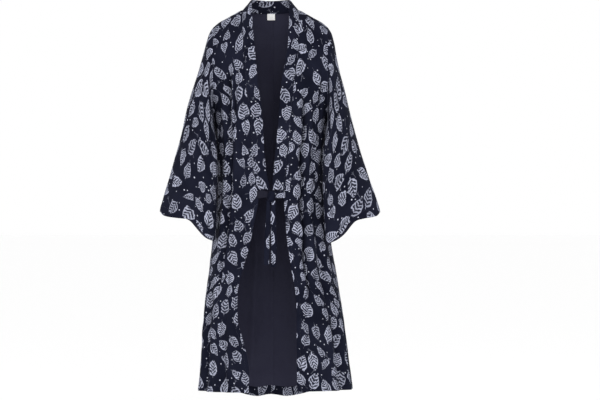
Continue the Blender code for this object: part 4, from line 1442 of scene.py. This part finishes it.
# ---------------------------------------------------------------- label and back hem
def inside_back(lift, across, drops):
    """Rows of points on the inside of the back, across the centre seam, for what is sewn to it."""
    rows = []
    for drop in drops:
        points = []
        for out in across:
            side = LEFT if out < 0 else RIGHT
            angle = np.array([max(float(angle_at(abs(out) / ARMHOLE_X)), 1e-3)])
            outward = outward_of(side, "back", drop, angle)[0]
            points.append(folded(side, "back", drop, angle)[0] + outward * lift)
        rows.append(points)
    return np.array(rows)


class ROBE_OT_label(Operator):
    """Sew the small bare label inside the back of the neck"""

    bl_idname = "robe.label"
    bl_label = "Neck label"

    def execute(self, context):
        colours = settings()[1]
        shares = 0.002 + np.linspace(0, LABEL_HEIGHT / -ARMPIT_Z, 16)
        drops = np.arccos(1 - 2 * shares) / math.pi
        half = LABEL_WIDTH / 2
        across = np.linspace(LABEL_OUT - half, LABEL_OUT + half, 20)
        grid = inside_back(LABEL_INSIDE, across, drops)
        column_place = np.linspace(-1, 1, len(across))
        row_place = np.linspace(0, 1, len(drops))
        lift = 0.0007 * row_place[:, None] ** 2 * (0.4 + column_place[None] ** 2)
        grid[..., 1] -= lift
        flat = cloth_map(grid, len(across) // 2)
        label = plain_material("label satin", tuple(colours.label), 0.55, thread=0.0007, sheen=0.15)
        obj = sheet_object("neck_label_cloth", grid, flat, LABEL_WALL, [label])
        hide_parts("neck_label")
        return {"FINISHED"}


class ROBE_OT_back_hem(Operator):
    """Turn the back hem up inside, with its printed face showing"""

    bl_idname = "robe.back_hem"
    bl_label = "Turned back hem"

    def execute(self, context):
        sizes, colours, _ = settings()
        drops = 2 - np.array(BACK_TURN["above"]) / BODY_LENGTH
        lifts = -np.array(BACK_TURN["inside"])
        for side in (LEFT, RIGHT):
            rows = []
            for drop, lift in zip(drops, lifts):
                level = float(body_base(side, "back", drop, np.array([math.pi / 4]))[0, 2])
                angles = spread(1e-3, math.radians(88), 70, f"back_{word(side)}", level)
                points = folded(side, "back", drop, angles)
                points += outward_of(side, "back", drop, angles) * lift
                points[0, 0] = side * seam_clearance(sizes)
                rows.append(points)
            grid = np.array(rows)
            flat = cloth_map(grid, 20) + print_shift("hem", side)
            name = f"hem_{word(side)}"
            cloth = sizes.cloth_wall, [printed(colours)]
            obj = sheet_object(f"{name}_cloth", grid, flat, *cloth, flip=side == RIGHT)
            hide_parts(name)
            f"back_{word(side)}"
        return {"FINISHED"}


# ---------------------------------------------------------------- stitching
def surface_of(name):
    """A tree of the finished mesh of one piece, to lay stitches on."""
    graph = bpy.context.evaluated_depsgraph_get()
    return BVHTree.FromObject(bpy.data.objects[name], graph)


def resampled(line, values, step):
    """What goes with the points of a line, at even steps along it."""
    lengths = lengths_along(line)
    at = np.arange(0, lengths[-1], step)
    return np.stack([np.interp(at, lengths, values[:, k]) for k in range(3)], axis=-1)


def add_stitches(bm, line, outward, tree, sizes):
    """Lays single stitches along a line, on the face of the cloth that outward points to."""
    step = sizes.stitch_length / 4
    radius = sizes.stitch_thread
    marks = resampled(line, line, step)
    ways = resampled(line, outward, step)
    for start in range(0, len(marks) - 3, 4):
        points = []
        for k in range(3):
            way = Vector(ways[start + k]).normalized()
            origin = Vector(marks[start + k]) + way * 0.004
            hit = tree.ray_cast(origin, -way, 0.012)[0]
            if hit is None:
                break
            rise = radius * (0.9 if k == 1 else -0.2)
            points.append((hit + way * rise, way))
        if len(points) == 3:
            add_thread(bm, points, radius)


def add_thread(bm, points, radius):
    """One stitch: a short round thread that dives into the cloth at both ends."""
    sides = 5
    rings = []
    along = (points[-1][0] - points[0][0]).normalized()
    for k, (centre, way) in enumerate(points):
        side = along.cross(way).normalized()
        size = radius * (1.0 if k == 1 else 0.75)
        ring = []
        for i in range(sides):
            a = 2 * math.pi * i / sides
            place = centre + side * (size * math.cos(a)) + way * (size * math.sin(a))
            ring.append(bm.verts.new(place))
        rings.append(ring)
    for above, below in zip(rings, rings[1:]):
        for i in range(sides):
            j = (i + 1) % sides
            bm.faces.new((above[i], above[j], below[j], below[i]))
    bm.faces.new(rings[0][::-1])
    bm.faces.new(rings[-1])


class ROBE_OT_stitching(Operator):
    """Sew the rows of stitches along the hems, the front edges, the cuffs and the collar seam"""

    bl_idname = "robe.stitching"
    bl_label = "Stitching"

    def execute(self, context):
        sizes, colours, _ = settings()
        thread = plain_material("navy thread", tuple(colours.thread), 0.6, sheen=0.2)
        context.view_layer.update()
        drop = 2 - HEM_STITCH / BODY_LENGTH
        for face in ("front", "back"):
            for side in (LEFT, RIGHT):
                first = edge_angle(side, drop) + 0.07 if face == "front" else 0.02
                angles = np.linspace(first, math.radians(89), 160)
                lines = [(folded(side, face, drop, angles), outward_of(side, face, drop, angles))]
                if face == "front":
                    lines.append(self.free_edge(side))
                self.sew(f"{face}_{word(side)}", lines, sizes, thread)
        around = np.linspace(0, 2 * math.pi, 200)
        for side in (LEFT, RIGHT):
            ring = sleeve_ring(side, 1 - HEM_STITCH / SLEEVE_LENGTH, around)
            self.sew(f"sleeve_{word(side)}", [ring], sizes, thread)
        seams, reaches, outward = collar_lines(*COLLAR_MARKS, 1.985, even=False)
        self.sew("collar", [(seams + reaches * COLLAR_STITCH, outward)], sizes, thread)
        return {"FINISHED"}

    @staticmethod
    def sew(piece, lines, sizes, thread):
        """Stitches along some lines of one piece, each with the cloth's outward direction."""
        tree = surface_of(f"{piece}_cloth")
        bm = bmesh.new()
        for line, outward in lines:
            add_stitches(bm, line, outward, tree, sizes)
        obj = mesh_object(f"stitches_{piece}", bm, [thread])

    @staticmethod
    def free_edge(side):
        """The stitch line down a front's own edge, from the tie to the hem."""
        points, ways = [], []
        for z in np.linspace(COLLAR_END_Z - 0.03, FRONT_HEM_Z + 0.004, 150):
            drop = drop_at(z)
            angle = angles_inside(side, drop, edge_angle(side, drop), [EDGE_STITCH])
            points.append(folded(side, "front", drop, angle)[0])
            ways.append(outward_of(side, "front", drop, angle)[0])
        return np.array(points), np.array(ways)


# ---------------------------------------------------------------- stage
FLOOR_REACH = 60.0


class ROBE_OT_stage(Operator):
    """Set up the pale floor, the soft lights and the camera"""

    bl_idname = "robe.stage"
    bl_label = "Stage"

    def execute(self, context):
        stage = settings()[2]
        scene = context.scene
        self.floor(cad_box[0][2] - stage.floor_below)
        self.lights(scene, stage)
        self.camera(scene, stage)
        world = bpy.data.worlds.new("even light")
        world.use_nodes = True
        back = world.node_tree.nodes["Background"]
        back.inputs["Color"].default_value = (1.0, 1.0, 1.0, 1.0)
        back.inputs["Strength"].default_value = stage.sky
        scene.world = world
        scene.view_settings.view_transform = "Standard"
        return {"FINISHED"}

    @staticmethod
    def floor(level):
        """A wide pale floor, open on all sides."""
        bm = bmesh.new()
        bmesh.ops.create_grid(bm, x_segments=8, y_segments=8, size=FLOOR_REACH)
        bmesh.ops.translate(bm, verts=bm.verts[:], vec=(0.0, 0.0, level))
        mesh = bpy.data.meshes.new("floor")
        bm.to_mesh(mesh)
        bm.free()
        mesh.shade_smooth()
        material, _, shader = new_material("pale paper")
        shader.inputs["Base Color"].default_value = (0.985, 0.985, 0.985, 1.0)
        shader.inputs["Roughness"].default_value = 0.95
        mesh.materials.append(material)
        floor = bpy.data.objects.new("floor", mesh)
        bpy.context.scene.collection.objects.link(floor)

    @staticmethod
    def lights(scene, stage):
        rows = (
            # name, place, aim, size, power
            ("key light", (0.55, -6.0, 0.90), (0.0, 0.0, -0.6), 2.4, stage.key_power),
            ("fill light", (-2.6, -4.6, 0.0), (0.0, 0.0, -0.7), 2.6, stage.fill_power),
        )
        for name, place, aim, size, power in rows:
            data = bpy.data.lights.new(name, "AREA")
            data.size = size
            data.energy = power
            light = bpy.data.objects.new(name, data)
            light.location = place
            light.rotation_euler = (Vector(place) - Vector(aim)).to_track_quat("Z", "Y").to_euler()
            scene.collection.objects.link(light)

    @staticmethod
    def camera(scene, stage):
        data = bpy.data.cameras.new("camera")
        data.sensor_width = 36.0
        data.lens = 36.0 * stage.distance / stage.frame_width
        data.clip_end = 100.0
        camera = bpy.data.objects.new("camera", data)
        camera.location = (stage.aim_x, -stage.distance, stage.aim_z)
        camera.rotation_euler = (math.pi / 2, 0.0, 0.0)
        scene.collection.objects.link(camera)
        scene.camera = camera


class ROBE_PT_maker(Panel):
    """Lists the steps of making the robe"""

    bl_idname = "ROBE_PT_maker"
    bl_label = "Cotton Yukata Robe"
    bl_space_type = "VIEW_3D"
    bl_region_type = "UI"
    bl_category = "Robe"

    def draw(self, context):
        layout = self.layout
        for name, kind in SETTINGS.items():
            box = layout.box()
            for key in kind.__annotations__:
                box.prop(getattr(context.scene, name), key)
        for operator in OPERATORS:
            layout.operator(operator.bl_idname)


OPERATORS = (
    ROBE_OT_body,
    ROBE_OT_sleeves,
    ROBE_OT_collar,
    ROBE_OT_tie,
    ROBE_OT_label,
    ROBE_OT_back_hem,
    ROBE_OT_stitching,
    ROBE_OT_stage,
)
CLASSES = (*SETTINGS.values(), *OPERATORS, ROBE_PT_maker)


def register():
    for kind in CLASSES:
        bpy.utils.register_class(kind)
    for name, kind in SETTINGS.items():
        setattr(bpy.types.Scene, name, PointerProperty(type=kind))


def unregister():
    for name in SETTINGS:
        delattr(bpy.types.Scene, name)
    for kind in reversed(CLASSES):
        bpy.utils.unregister_class(kind)


def main():
    register()
    for operator in OPERATORS:
        family, action = operator.bl_idname.split(".")
        getattr(getattr(bpy.ops, family), action)()
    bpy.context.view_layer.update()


if __name__ == "__main__":
    main()
